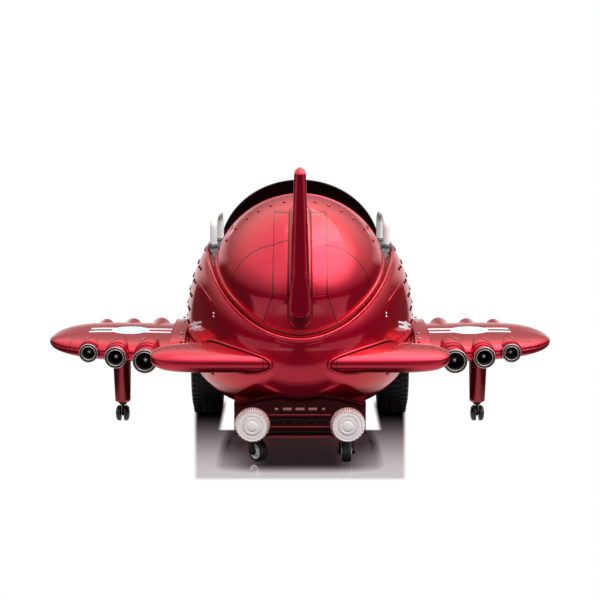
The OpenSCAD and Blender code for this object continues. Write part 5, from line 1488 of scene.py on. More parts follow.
# The bumper's shell and bars take the near-black red: painted shade under the hull.
piece(bumper, paint_dark, "rear_bumper", sharp=34)
bars, highlight_dashes = Shape(), Shape()
for z, high, out, half in ((95.0, 4.4, 4.2, 70), (122.6, 4.4, 4.6, 70), (76.6, 2.6, 3.6, 78)):
    ring = [(BUMPER_Y + 1, z - high), (BUMPER_Y - out * 0.6, z - high * 0.9),
        (BUMPER_Y - out, z - high * 0.3), (BUMPER_Y - out, z + high * 0.3),
        (BUMPER_Y - out * 0.6, z + high * 0.85), (BUMPER_Y + 1, z + high)]
    bars.loft([[(x, y, w) for y, w in ring] for x in (-half, half)])
piece(bars.object("bumper_bars"), paint_dark, sharp=50)
# Thin beads of lighter red along the bars' upper edges: painted highlights.
bead("bumper_lines", [[(-half, y, z), (half, y, z)] for half, y, z in ((68, BUMPER_Y - 3.2, 99.2),
    (68, BUMPER_Y - 3.4, 126.8), (76, BUMPER_Y - 3.2, 75.0))], 0.9, paint_trim, 6)
# Raised pale dashes above the slots: painted highlights of a shallow top row of slots.
for x, w in ((-28.5, 9.6), (0, 9.8), (28.5, 9.6), (-53, 3.6), (53, 3.6)):
    ring = [(BUMPER_Y + 1, -3.2), (BUMPER_Y - 1.6, -2.6), (BUMPER_Y - 1.6, 2.2), (BUMPER_Y + 1, 3.0)]
    highlight_dashes.loft([[(x + k, y, 139.4 + z * (1 if w > 5 else 0.8)) for y, z in ring] for k in (-w, w)])
piece(highlight_dashes.object("bumper_dashes"), dash_highlight_finish, sharp=50)
grille = Shape()
grille.box((-62, BUMPER_Y + 8.6, 79.5), (62, BUMPER_Y + 11, 145.5))
for z in np.arange(80.5, 145, 2.6):
    grille.loft([[(x, BUMPER_Y + 9.5, z - 0.7), (x, BUMPER_Y + 7.4, z - 0.4), (x, BUMPER_Y + 7.4, z + 0.4),
        (x, BUMPER_Y + 9.5, z + 0.7)] for x in (-61, 61)])
piece(grille.object("bumper_mesh_grille"), slot_finish, "bumper_grille", sharp=50)


# Tail lamps

bezels, lenses = Shape(), Shape()
for s in (-1, 1):
    at = (s * LAMP_X, BUMPER_Y, LAMP_Z)
    bezels.turned([(24, -20), (24, 0), (39.8, 0), (40.3, 0.8), (40.3, 2.2), (39.6, 3.0), (38, 2.2), (20, 2),
        (20, -20)], AXIS_BACK, at, 72)
    lenses.turned([(0.02, 2.2), (37.6, 2.2), (39.4, 3.4), (39.8, 5.4), (39.5, 8.4), (38.6, 12), (37.4, 15.4),
        (36, 18), (34.8, 19.4), (34.0, 20.0), (33.2, 19.6), (32.0, 19.3), (28.4, 20.2), (24.6, 20.6),
        (22.8, 19.9), (21.2, 20.5), (17.4, 21.4), (14.6, 21.4), (13.4, 20.7), (12.0, 21.5), (8.0, 22.4),
        (4, 22.8), (0.02, 22.9)], AXIS_BACK, at, 96, close=False)
piece(bezels.object("lamp_bezels"), black_matte, "lamp_housings", sharp=38)


def lamp_glass(name, clear):
    """Frosted white plastic, or the clear faceted rim round it."""
    material, shader, place = new_material(name, "lens", **{"Coat Weight": 0.6, "Coat Roughness": 0.04,
        "Specular IOR Level": 0.6})
    x, y, z = coordinate(place)
    side, up = minus(unsigned(x), LAMP_X * MM), minus(z, LAMP_Z * MM)
    r = radius_of(side, up)
    wear = worn(place, (0.9, 0.84, 0.83, 1), 0.22, 0.03, 0.02, 0.04)
    flute = calc("SINE", times(calc("ARCTAN2", up, side), 48.0))
    if clear:
        # The upper, inner part of the faceted rim is tinted pink: a painted reflection of the red hull.
        red_reflection_share = ease(minus(times(up, 0.8), times(side, 0.6)), -0.022, 0.012)
        red_reflection_tone = blend(red_reflection_share, (0.88, 0.8, 0.79, 1), (0.46, 0.2, 0.2, 1))
        tone = blend(ramp(flute, -0.6, 0.9, 0.0, 0.5), red_reflection_tone, (0.86, 0.76, 0.75, 1))
        dress(shader, tone, wear["Roughness"], flute, 0.25, 0.0004)
    else:
        ring = times(ease(r, 0.0135, 0.02), fade(r, 0.0215, 0.0275))
        tone = blend(times(ring, 0.4), wear["Colour"], (0.62, 0.5, 0.5, 1))
        dress(shader, tone, wear["Roughness"], calc("SINE", times(r, 3600.0)), 0.08, 0.0004)
    return material


frosted, faceted = lamp_glass("lamp_frosted", False), lamp_glass("lamp_faceted", True)
lens = lenses.object("lamp_lens_faces")
piece(lens, [frosted, faceted], "lamp_lenses", sharp=30)
for face in lens.data.polygons:
    x, y, z = face.center / MM
    if hypot(abs(x) - LAMP_X, z - LAMP_Z) > 33.6:
        face.material_index = 1


def flute_shape():
    """A rounded rib that runs along the lamp's rim, from its foot to the frosted face."""
    rings = []
    for r, h, w, t in ((39.4, 4, 1.6, 1.0), (39.4, 7, 2.2, 1.5), (38.6, 11.5, 2.3, 1.7),
            (37.2, 15.4, 2.2, 1.7), (35.6, 18.6, 1.9, 1.4), (34.0, 20.6, 1.3, 0.9)):
        tilt = atan2(h, 60 - r)
        rings.append([(u, r - 1 + v * t * cos(tilt * 0.8), h + v * t * 0.5)
            for u, v in ((-w, 0), (-w * 0.7, 0.7), (0, 1), (w * 0.7, 0.7), (w, 0))])
    return tidy(mesh_object("flute_shape", *loft_mesh(rings)), 50)


flutes = [((s * LAMP_X, BUMPER_Y, LAMP_Z), (0, -1, 0), a) for s in (-1, 1) for a in turns(28)]
copies("lamp_flutes", flute_shape(), flutes, faceted)


# Rear casters

CASTER_X, CASTER_Y, CASTER_R, CASTER_W, CASTER_TRAIL = 107.0, -462.0, 25.0, 24.0, 16.0
FORK_TOP_Z = BUMPER_Z - 0.5

for side, s, turn in (("left", -1, 40.0), ("right", 1, 0.0)):
    spin = rotation(turn, "Z")
    at = (s * CASTER_X, CASTER_Y, 0)
    fork = Shape()
    fork.turned([(0.02, FORK_TOP_Z + 26), (5.6, FORK_TOP_Z + 26), (5.6, FORK_TOP_Z), (17, FORK_TOP_Z),
        (17.2, FORK_TOP_Z - 1), (17.2, FORK_TOP_Z - 4.4), (16.4, FORK_TOP_Z - 5.4), (0.02, FORK_TOP_Z - 5.6)],
        None, at, 48, close=False)
    for k in (-1, 1):
        x = k * (CASTER_W / 2 + 3)
        outline = [(-11, FORK_TOP_Z - 2), (11, FORK_TOP_Z - 2), (9, FORK_TOP_Z - 12), (2, 46),
            (-CASTER_TRAIL + 9, 28), (-CASTER_TRAIL + 8, CASTER_R - 3)]
        outline += [(-CASTER_TRAIL + 8 * cos(a), CASTER_R + 8 * sin(a)) for a in linspace(-0.3, -pi + 0.3, 9)]
        outline += [(-CASTER_TRAIL - 9, CASTER_R + 4), (-13, 46)]
        fork.loft([[(x + t, y, z) for y, z in outline] for t in (-2, 2)], spin, at)
        fork.loft([[(x + t, y * 0.96 - 0.5, z * 0.99 + 0.5) for y, z in outline] for t in (k * 2, k * 2.6)],
            spin, at)
    centre = np.array(spin.to_3x3() @ Vector((0, -CASTER_TRAIL, CASTER_R))) + np.array(at)
    fork.turned([(0.02, -20.6), (4.6, -20.6), (5.2, -19.8), (5.2, -17.4), (3.5, -17.4), (3.5, 17.4),
        (5.2, 17.4), (5.2, 19.8), (4.6, 20.6), (0.02, 20.6)], spin @ AXIS_X, centre, 24, close=False)
    piece(fork.object(side + "_caster_fork"), black_gloss, side + "_rear_fork", sharp=38,
        body=side + "_rear_caster")
    tyre, hub = Shape(), Shape()
    profile = [(17, -9), (19, -10), (21, -10.4), (23, -9.6), (24.3, -7.6), (24.9, -5), (25, -2), (24.2, -1),
        (24.2, 1), (25, 2), (24.9, 5), (24.3, 7.6), (23, 9.6), (21, 10.4), (19, 10), (17, 9)]
    tyre.turned(profile, spin @ AXIS_X, centre, 72)
    hub.turned([(3.6, -12), (8, -12), (8.6, -11), (9, -8.4), (14, -8), (15, -9.8), (17.2, -10), (17.8, -9),
        (17.8, 9), (17.2, 10), (15, 9.8), (14, 8), (9, 8.4), (8.6, 11), (8, 12), (3.6, 12)], spin @ AXIS_X,
        centre, 60)
    piece(tyre.object(side + "_caster_tyre"), black_matte, side + "_rear_wheel", sharp=40,
        body=side + "_rear_caster_wheel", slot="tyre_black")
    piece(hub.object(side + "_caster_hub"), pearl, sharp=40, body=side + "_rear_caster_wheel")
    spots = []
    for a in turns(6):
        for face in (-1, 1):
            local = Vector((face * 8.2, 11.4 * cos(a), 11.4 * sin(a)))
            spots.append((tuple(np.array(spin.to_3x3() @ local) + centre),
                spin.to_3x3() @ Vector((face, 0, 0))))
    copies(side + "_caster_studs", dome_shape(1.7, 1.4, 12, 3), spots, steel,
        body=side + "_rear_caster_wheel")


# Front wheels

RIM_R, TREAD_R, LUGS = 78.0, WHEEL_R - 2.5, 52


def tyre_rubber():
    material, shader, place = new_material("tyre_rubber", "tyre_black", **{"Specular IOR Level": 0.4})
    grains = use_group(GRAIN, Place=place, Size=1500.0, Roughness=0.5)
    wear = worn(place, (0.01, 0.009, 0.009, 1), grains["Roughness"], 0.3, 0.05, 0.1)
    dress(shader, wear["Colour"], wear["Roughness"], grains["Height"], 0.15, 0.0005)
    return material


rubber = tyre_rubber()


def lug_shape(w, l, h, lean):
    """A tread block on z = 0, wide along X and long along Y, with sloping walls."""
    low = [(-w / 2 - lean, -l / 2), (w / 2 - lean, -l / 2), (w / 2 + lean, l / 2), (-w / 2 + lean, l / 2)]
    rings = [[(x, y, -3) for x, y in low], [(x, y, h * 0.7) for x, y in low],
        [(x * 0.94, y * 0.86, h) for x, y in low]]
    return tidy(mesh_object("lug_shape", *loft_mesh(rings)), 30)


def spoke_shape():
    sections = ((6.0, 1.0, 28, 0, 6.4), (4.5, 1.0, 48, -3, 4.8), (7.5, 2.0, 70.5, 4, 9.5))
    rings = [[(-w, y, low), (w, y, low), (w - narrow, y, high), (narrow - w, y, high)]
        for w, narrow, y, low, high in sections]
    return tidy(mesh_object("spoke_shape", *loft_mesh(rings)), 30)


for side, s in SIDES:
    centre = (s * WHEEL_X, AXLE_Y, WHEEL_R)
    body = side + "_front_wheel"
    half = WHEEL_W / 2
    right = [(RIM_R, half - 6), (RIM_R + 3, half - 2.5), (RIM_R + 9, half - 1)]
    right += [(WHEEL_R - a, half - b) for a, b in ((24, 0), (20, 0.2), (19, 1.2), (14, 1.8), (9, 4), (5, 8),
        (3, 13), (2.4, 20))]
    right += [(WHEEL_R - 2.3, 5.0), (WHEEL_R - 3.6, 4.2)]
    profile = right + [(r, -w) for r, w in right[::-1]]
    tyre = Shape().turned(profile, AXIS_X, centre, 144)
    piece(tyre.object(side + "_tyre_carcass"), rubber, side + "_front_tyre", sharp=30, body=body)
    for name, x, w, l, lean, turn in (("outer", half - 14, 17, 9.5, 1.5, 0.0),
            ("inner", 14 - half, 17, 9.5, -1.5, 0.0), ("middle", 0, 22, 5.5, 3.0, 0.5)):
        spots = [((centre[0] + x, centre[1] + TREAD_R * cos(a), centre[2] + TREAD_R * sin(a)),
            (0, cos(a), sin(a))) for a in turns(LUGS) + 2 * pi * turn / LUGS]
        copies(side + "_tread_" + name, lug_shape(w, l, 2.4, lean), spots, rubber, body=body)
    rim = Shape()
    profile = [(5.1, -half + 2), (24, -half + 2), (25, -half + 4), (25, -8), (50, -4), (RIM_R - 9, -8),
        (RIM_R - 5, -half + 6), (RIM_R - 4.6, -half + 3), (RIM_R - 0.2, -half + 3), (RIM_R - 0.2, half - 3),
        (RIM_R - 4, half - 3), (RIM_R - 5.2, half - 4), (RIM_R - 6.4, half - 9), (RIM_R - 12, half - 20),
        (42, half - 17), (30, half - 12), (27, half - 6), (25, half - 4), (22, half - 2.5), (12, half - 1.4),
        (5.1, half - 1.2)]
    rim.turned([(r, w * s) for r, w in profile], AXIS_X, centre, 96)
    rim.rod(5.2, (half - 1.4) * s, (half - 9) * s, AXIS_X, centre)
    piece(rim.object(side + "_rim_disc"), chrome, side + "_front_rim", sharp=35, body=body)
    spots = [((centre[0] + s * (half - 19), centre[1], centre[2]), (s, 0, 0), 2 * pi * k / 10)
        for k in range(10)]
    copies(side + "_rim_spokes", spoke_shape(), spots, chrome, body=body)
    spots = [((centre[0] + s * (half - 3.0), centre[1] + 17 * cos(a), centre[2] + 17 * sin(a)), (s, 0, 0))
        for a in turns(5)]
    copies(side + "_rim_nuts", screw_shape(3.2, 2.0, 6), spots, steel, body=body)


# Cockpit: seat, belt, handles, dashboard and joysticks

SEAT_Z, SEAT_TOP_Z, SEAT_W, FLOOR_Z, SEAT_REAR = 262.0, 552.0, 132.0, 200.0, -192.0
UNDER = FLOOR_Z + 3


def smooth_path(points, count, sweep=3):
    """A path with its corners rounded, with evenly spaced points."""
    path = np.asarray(points, float)
    for _ in range(sweep):
        inner = np.stack([path[:-1] * 0.75 + path[1:] * 0.25, path[:-1] * 0.25 + path[1:] * 0.75],
            axis=1).reshape(-1, 2)
        path = np.concatenate([path[:1], inner, path[-1:]])
    return resample(path, count)


MIDDLE_LINE = smooth_path([(44, UNDER), (44, UNDER + 14), (44, SEAT_Z - 12), (38, SEAT_Z + 1),
    (12, SEAT_Z + 1), (-60, SEAT_Z - 9), (-118, SEAT_Z - 5), (-143, SEAT_Z + 20), (-158, SEAT_TOP_Z - 60),
    (-166, SEAT_TOP_Z - 12), (-176, SEAT_TOP_Z - 0.5), (-187, SEAT_TOP_Z - 1), (SEAT_REAR, SEAT_TOP_Z - 9),
    (SEAT_REAR, 470), (SEAT_REAR, UNDER)], 150)
BOLSTER_LINE = smooth_path([(44, UNDER), (44, UNDER + 14), (44, SEAT_Z), (33, SEAT_Z + 21),
    (-60, SEAT_Z + 25), (-97, SEAT_Z + 50), (-125, SEAT_Z + 108), (-137, SEAT_TOP_Z - 131),
    (-159, SEAT_TOP_Z - 98), (-176, SEAT_TOP_Z - 92.5), (-187, SEAT_TOP_Z - 93), (SEAT_REAR, SEAT_TOP_Z - 98),
    (SEAT_REAR, 420), (SEAT_REAR, UNDER)], 150)


def seat_rib(u):
    """The seat's outline seen from the side, at a share of its half width."""
    side = clip01((abs(u) - 0.66) / 0.17)
    side = side * side * (3 - 2 * side)
    line = MIDDLE_LINE * (1 - side) + BOLSTER_LINE * side
    edge = clip01((abs(u) - 0.9) / 0.1)
    line = line.copy()
    middle = np.array([-70.0, 300.0])
    shrink = 7.0 * (1 - sqrt(max(0, 1 - edge ** 2)))
    way = middle - line
    line += way / np.maximum(1, np.linalg.norm(way, axis=1))[:, None] * shrink * (line[:, 1:] > UNDER + 1)
    dish = 6.0 * (1 - (u / 0.66) ** 2) if abs(u) < 0.66 else 0.0
    top = linspace(0, 1, len(line))
    on_seat = np.exp(-((top - 0.22) / 0.13) ** 2) + np.exp(-((top - 0.47) / 0.12) ** 2)
    line += np.stack([-dish * on_seat * (top > 0.36), -dish * on_seat * (top <= 0.36)], axis=1)
    return [(u * SEAT_W, y, max(z, UNDER)) for y, z in line]


us = np.concatenate([linspace(0, 0.6, 18), linspace(0.62, 0.86, 16), linspace(0.88, 1.0, 9)])
us = np.concatenate([-us[::-1], us[1:]])
seat = Shape().loft([seat_rib(u) for u in us]).object("seat_shell")
piece(seat, black_matte, "seat", sharp=40)


def seat_top(x, y):
    """Height of the seat's cushion at a point."""
    rib = np.array(seat_rib(x / SEAT_W))
    near = [p for p in rib[:70] if abs(p[1] - y) < 6]
    return max(p[2] for p in near)


def seat_line(x, first, last, ahead=0.0):
    """A stretch of the seat's outline, just proud of its skin."""
    return [(x, y + ahead, z + 0.3) for x, y, z in seat_rib(x / SEAT_W)[first:last]]


bead("seat_back_ribs", [seat_line(x, 62, 86, 0.3) for x in range(-66, 67, 22)], 1.8, black_matte, 8)
bead("seat_cushion_ribs", [seat_line(x, 18, 40) for x in (-66, -44, 44, 66)], 1.8, black_matte, 8)


def webbing():
    material, shader, place = new_material("webbing", **{"Specular IOR Level": 0.25})
    x, y, z = coordinate(place)
    weave = times(calc("SINE", times(x, 3200.0)), calc("SINE", times(y, 5200.0)))
    wear = worn(place, (0.018, 0.018, 0.02, 1), 0.75, 0.3, 0.15, 0.0)
    lighter = blend(ramp(weave, -1.0, 1.0, 0.0, 0.5), wear["Colour"], (0.05, 0.05, 0.055, 1))
    dress(shader, lighter, wear["Roughness"], weave, 0.5, 0.0006)
    return material


BELT_Y, BELT_W, BELT_T = -46.0, 30.0, 1.5
belt_cloth = webbing()
for side, s in SIDES:
    xs = linspace(21.0, 103.0, 42)
    heights = np.array([max(seat_top(x, BELT_Y - 14), seat_top(x, BELT_Y), seat_top(x, BELT_Y + 14))
        for x in xs])
    heights = np.convolve(np.pad(heights, 3, "edge"), np.ones(7) / 7, "valid")
    heights = np.maximum(heights, 0) + 1.3
    rings = []
    for x, h in zip(xs, heights):
        sag = 0.5 * sin((x - 21) / 9.0)
        across = [-1 + k / 6 for k in range(13)]
        under = [(s * x, BELT_Y + v * BELT_W / 2, h + sag * (1 - v * v)) for v in across]
        over = [(a, b, c + BELT_T * (1 if abs(v) < 0.95 else 0.7)) for v, (a, b, c) in zip(across, under)]
        rings.append(over + under[::-1])
    strap = Shape().loft(rings).object(side + "_lap_strap")
    nodes = ("lap_belt",) if s < 0 else ()
    piece(strap, belt_cloth, *nodes, sharp=60)
    edges = [[(r[k][0], r[k][1], r[k][2] + 0.25) for r in rings] for k in (1, 11)]
    bead(side + "_strap_stitches", edges, 0.35, grey_matte, 6, slot="webbing")
buckle_z = max(seat_top(0, BELT_Y - 17), seat_top(0, BELT_Y + 17)) + 0.4
buckle = Shape()
outline = []
for cx, cy, start in ((17, 12, 0), (-17, 12, 90), (-17, -12, 180), (17, -12, 270)):
    outline += [(cx + 5 * cos(radians(start + a)), BELT_Y + cy + 5 * sin(radians(start + a)))
        for a in range(0, 91, 15)]
low, high = buckle_z, buckle_z + 9.6
buckle.loft([[(x * k, (y - BELT_Y) * k + BELT_Y, z) for x, y in outline] for k, z in ((0.95, low),
    (1, low + 1.5), (1, high - 2.5), (0.96, high - 0.8), (0.9, high))])
buckle = tidy(buckle.object("belt_buckle_case"), 40)
recess = Shape().box((-9, BELT_Y - 9, high - 1.6), (9, BELT_Y + 9, high + 3)).object("recess")
cut(buckle, tidy(recess))
piece(buckle, black_gloss, "belt_buckle", sharp=35, slot="black_matte")
key = Shape().loft([[(x * k, BELT_Y + y * k, z) for x, y in ((-8, -8), (8, -8), (8, 8), (-8, 8))]
    for k, z in ((1, high - 2), (1, high - 0.6), (0.86, high + 0.1))])
piece(key.object("buckle_key"), paint, sharp=35)

# Grab handles
HANDLE_LEN, HANDLE_H, HANDLE_R, HANDLE_BEND, HANDLE_REAR = 116.0, 74.0, 9.0, 26.0, -142.0
turn_in = rotation(5, "Z")
handle_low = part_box("right_grab_handle")[0].z / MM
handle_x = HULL_HALF_W - 69


def by_handle(s, points):
    """Points given from a handle's rear foot, put in place. The handles' front ends lean inwards."""
    return moved(points, turn_in, (handle_x, HANDLE_REAR, handle_low)) * (s, 1, 1)


for side, s in SIDES:
    path = [(0, 0, 5), (0, 0, 20)] + [(0, 0, z) for z in linspace(28, HANDLE_H - HANDLE_BEND, 4)]
    path += [(0, HANDLE_BEND * (1 - cos(a)), HANDLE_H - HANDLE_BEND * (1 - sin(a)))
        for a in linspace(0.15, pi / 2, 9)]
    path += [(0, y, HANDLE_H) for y in linspace(HANDLE_BEND + 8, HANDLE_LEN / 2, 4)]
    path += [(x, HANDLE_LEN - y, z) for x, y, z in path[-2::-1]]
    bar = bead(side + "_handle_bar", [by_handle(s, path)], HANDLE_R - 0.1, pearl, 28)
    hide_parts(side + "_grab_handle")
    base = Shape()
    for foot in by_handle(s, [(0, 0, 0), (0, HANDLE_LEN, 0)]):
        base.turned([(0.02, 0), (14, 0), (14, 4.4), (13, 5.8), (11, 6.2), (10.6, 7.6), (9.9, 8.4),
            (0.02, 8.4)], None, foot, 40, close=False)
    piece(base.object(side + "_handle_feet"), grey_matte, sharp=38)
    heads = by_handle(s, [(0, y + k * 11.9, 5.2) for y in (0, HANDLE_LEN) for k in (-1, 1)])
    copies(side + "_handle_screws", screw_shape(2.0, 1.1, 14), [(p, (0, 0, 1), 0.3) for p in heads], steel)

plates = Shape()
for s in (-1, 1):
    rings = []
    for t in linspace(0, 1, 40):
        y = mix(-274, -6, t)
        swell, end = 1 - (1 - min(1, t / 0.75)) ** 2, 1 - max(0, (t - 0.94) / 0.061) ** 2
        half = 10.0 * sqrt(max(0.004, swell)) * sqrt(max(0.02, end))
        middle = hull_x(y, rim_at(HULL_HALF_W, y)) - 20
        rings.append([(s * (middle + half * k), y, rim_at(middle, y) + h)
            for k, h in ((-1, -0.5), (-1, 1.6), (-0.8, 2.6), (0, 2.9), (0.8, 2.6), (1, 1.6), (1, -0.5))])
    plates.loft(rings)
piece(plates.object("handle_plates"), grey_matte, sharp=38)

# Dashboard with its consoles
DASH_Y, DASH_DEPTH, DASH_LOW, CONSOLE_X, CONSOLE_Z = 108.0, 36.0, 332.0, 112.0, 342.0
BUTTON_X, BUTTON_Z, DIAL_X, DIAL_Z = 46.0, 404.0, 98.0, 402.0
dash_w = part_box("dashboard")[1].x / MM
xs = linspace(-dash_w, dash_w, 61)
tops = [hood_z(x, HOOD_Y, -WALL) - 4 for x in xs]
panel = Shape()
front = []
for y, inset in ((DASH_Y, 2.6), (DASH_Y + 0.8, 0.9), (DASH_Y + 2.6, 0.0), (DASH_Y + DASH_DEPTH, 0.0)):
    ring = [(x * (1 - inset / dash_w), y, z - inset) for x, z in zip(xs, tops)]
    ring += [(x * (1 - inset / dash_w), y, DASH_LOW + inset) for x in xs[::-1]]
    front.append(ring)
panel.loft(front)
panel = tidy(panel.object("dash_panel"), 40)
holes = Shape()
for x in (-BUTTON_X, BUTTON_X):
    holes.rod(9.3, DASH_Y - 3, DASH_Y + 16, AXIS_Y, (x, 0, BUTTON_Z), 40, 0.01)
holes.box((-11.3, DASH_Y - 1, BUTTON_Z - 17.3), (11.3, DASH_Y + 14, BUTTON_Z + 17.3))
cut(panel, tidy(holes.object("holes")))
piece(panel, grey_matte, "dashboard", sharp=35)
console = Shape()
for s in (-1, 1):
    rings = []
    for z, inset in ((CONSOLE_Z - 30, 0.0), (CONSOLE_Z - 2.4, 0.0), (CONSOLE_Z - 0.7, 0.7), (CONSOLE_Z, 2.4)):
        inner, outer, rear = s * (CONSOLE_X + inset), s * (dash_w - inset), 6 + inset
        rings.append([(inner, rear, z), (outer, rear, z), (outer, DASH_Y, z), (inner, DASH_Y, z)])
    console.loft(rings)
console = tidy(console.object("consoles"), 40)
SOCKET_X, SOCKET_Y = -(CONSOLE_X + dash_w) / 2, DASH_Y - 19.0
bore = Shape().rod(9.3, CONSOLE_Z - 20, CONSOLE_Z + 3, None, (SOCKET_X, SOCKET_Y, 0), 40, 0.01).object("bore")
cut(console, tidy(bore))
piece(console, grey_matte, sharp=35)

socket = Shape()
socket.turned([(0.02, -19), (9, -19), (9, 0), (12, 0), (12, 1.2), (11.2, 2), (4.2, 2), (3.4, 1.4),
    (2.85, 0.6), (2.8, -12), (0.02, -12)], None, (SOCKET_X, SOCKET_Y, CONSOLE_Z), 48, close=False)
piece(socket.object("socket_body"), black_gloss, "charging_socket", sharp=35, slot="black_matte")
pin = Shape().turned([(0.01, -12), (0.9, -12), (0.9, -2.6), (0.5, -2), (0.01, -2)], None,
    (SOCKET_X, SOCKET_Y, CONSOLE_Z), 20, close=False)
piece(pin.object("socket_pin"), steel, sharp=35)


def dial_face():
    """A pale instrument face with plain division marks round it and a red needle."""
    material, shader, place = new_material("dial_face", "pearl_plastic", **{"Coat Weight": 0.8,
        "Coat Roughness": 0.03})
    x, y, z = coordinate(place)
    side, up = minus(unsigned(x), DIAL_X * MM), minus(z, DIAL_Z * MM)
    r, angle = radius_of(side, up), calc("ARCTAN2", up, side)

    def band(inner, outer):
        return inside(r, inner, outer, 0.0002)

    ticks = times(ramp(calc("COSINE", times(angle, 24.0)), 0.86, 0.93), band(0.0165, 0.0215))
    long = times(ramp(calc("COSINE", times(angle, 6.0)), 0.975, 0.99), band(0.0135, 0.0215))
    marks = most(ticks, long, band(0.0224, 0.023))
    off = times(unsigned(minus(angle, 2.2)), r)
    needle = times(ramp(off, 0.0005, 0.0008, 1.0, 0.0), band(0.0, 0.0175))
    wear = worn(place, (0.62, 0.6, 0.55, 1), 0.35, 0.1, 0.05, 0.05)
    tone = blend(needle, blend(marks, wear["Colour"], (0.02, 0.02, 0.02, 1)), (0.5, 0.01, 0.01, 1))
    dress(shader, tone, wear["Roughness"], minus(1.0, marks), 0.2, 0.0002)
    return material


faces, bezel = Shape(), Shape()
for s in (-1, 1):
    at = (s * DIAL_X, DASH_Y, DIAL_Z)
    faces.rod(24.2, 0.6, -0.6, AXIS_BACK, at, 60)
    bezel.turned([(24, -1), (27.5, -1), (27.5, 2.2), (26.6, 3.4), (25.4, 3.4), (24, 1.8)], AXIS_BACK, at, 60)
piece(faces.object("dial_faces"), dial_face(), sharp=40)
piece(bezel.object("dial_bezels"), chrome, sharp=35)
spots = [((s * x, DASH_Y + 0.2, z), (0, -1, 0), 0.4) for s in (-1, 1)
    for x, z in ((dash_w - 9, 345), (66, 345), (66, 440), (20, 345))]
copies("dash_screws", screw_shape(3.0, 1.6, 16), spots, steel)
rings = Shape()
for x in (-BUTTON_X, BUTTON_X):
    rings.turned([(9.35, -2), (12.6, -2), (12.6, 1.2), (11.8, 2.0), (10.2, 2.0), (9.35, 1.4)], AXIS_BACK,
        (x, DASH_Y, BUTTON_Z), 48)
piece(rings.object("button_collars"), chrome, sharp=35)
frame_ring = [(x, DASH_Y - 0.4, BUTTON_Z + z) for x, z in ((-13, -19), (13, -19), (13, 19), (-13, 19))]
bead("switch_frame", [frame_ring], 1.5, black_gloss, 8, True, slot="black_matte")
for x, name, finish in ((BUTTON_X, "start", green_key), (-BUTTON_X, "horn", yellow_key)):
    cap = Shape().turned([(0.02, -10), (8.9, -10), (8.9, 3.4), (8.5, 4.4), (7.4, 5), (6, 4.9), (3, 4.5),
        (0.02, 4.4)], AXIS_BACK, (x, DASH_Y, BUTTON_Z), 48, close=False)
    piece(cap.object(name + "_cap"), finish, name + "_button", sharp=40, body=name + "_key")
outline = [(-16, -8), (-14, -8.2), (0, -5), (14, -10.1), (16, -10), (15.4, -1), (13, 1), (3, 5), (-3, 5),
    (-13, 1), (-15.4, -1)]
rocker = Shape().loft([[(x, DASH_Y + 6 + y * k + (1 - k) * -2, BUTTON_Z - z * k) for z, y in outline]
    for x, k in ((-11, 0.94), (-10.2, 1), (10.2, 1), (11, 0.94))])
piece(rocker.object("rocker_cap"), black_gloss, "power_switch", sharp=35, body="power_rocker",
    slot="black_matte")
mark = Shape().box((-1.0, DASH_Y - 3.1, BUTTON_Z - 12.5), (1.0, DASH_Y - 1.6, BUTTON_Z - 5.5))
piece(mark.object("rocker_mark"), pearl, body="power_rocker")

# Joysticks
STICK_X, STICK_Y, PIVOT_Z, BASE_W = 148.0, 48.0, 354.0, 44.0
for side, s in SIDES:
    body = side + "_stick"
    at = (s * STICK_X, STICK_Y, PIVOT_Z)
    base = Shape()
    middle = s * STICK_X
    for k in (-1, 1):
        rings = []
        for z, inset in ((0, 0), (18, 0), (22, 1.2), (24, 4)):
            near, far, depth = middle + k * 6.3, middle + k * (BASE_W / 2 - inset), 22 - inset
            rings.append([(x, STICK_Y + y, CONSOLE_Z + z)
                for x, y in ((near, -depth), (far, -depth), (far, depth), (near, depth))])
        base.loft(rings)
    for rear, front, height in ((-22, -17, 22), (17, 22, 22), (-18, 18, 2)):
        base.box((middle - 6.5, STICK_Y + rear, CONSOLE_Z), (middle + 6.5, STICK_Y + front,
            CONSOLE_Z + height))
    nodes = ("joystick_bases",) if s < 0 else ()
    piece(base.object(side + "_stick_base"), grey_matte, *nodes, sharp=35)
    spots = [((middle + i * 15, STICK_Y + j * 15, CONSOLE_Z + 23.6), (0, 0, 1), 0.5) for i in (-1, 1)
        for j in (-1, 1)]
    copies(side + "_base_screws", screw_shape(2.6, 1.2, 14), spots, steel)
    stick = Shape()
    stick.rod(8, -5.9, 5.9, AXIS_X, at, 36)
    stick.rod(3, -16, 16, AXIS_X, at, 20)
    stick.rod(5.5, 4, 40, None, at, 32)
    stick.turned([(0.02, 38), (11.4, 38), (12.4, 39), (12.6, 41), (12.8, 43), (13.8, 46), (13.2, 52),
        (12.8, 57), (13.2, 62), (14.1, 68), (14.9, 76), (14.6, 84), (14.9, 90), (14.5, 95), (13.2, 98.6),
        (11, 101), (7.6, 103.6), (7.4, 103), (6.6, 103), (0.02, 103)], None, at, 48, close=False)
    for z in (52, 58, 64):
        stick.turned([(12.0, z - 1.1), (14.2, z - 0.6), (14.6, z), (14.2, z + 0.6), (12.0, z + 1.1)], None,
            at, 40)
    piece(stick.object(side + "_stick_grip"), black_matte, side + "_joystick", sharp=40, body=body)
    cap = Shape().turned([(0.02, 100), (6.2, 100), (6.2, 103.4), (5.6, 104.6), (3.4, 105.4), (0.02, 105.6)],
        None, at, 32, close=False)
    piece(cap.object(side + "_stick_button"), paint, sharp=40, body=body)


# Rivets and small marks of the fuselage


def hull_spot(s, y, z):
    """A place on the hull's skin and the direction out of it."""
    x = hull_x(y, z)
    slope_y = (hull_x(y + 2, z) - hull_x(y - 2, z)) / 4
    slope_z = (hull_x(y, z + 2) - hull_x(y, z - 2)) / 4
    return (s * (x - 0.2), y, z), (s, -slope_y, -slope_z)


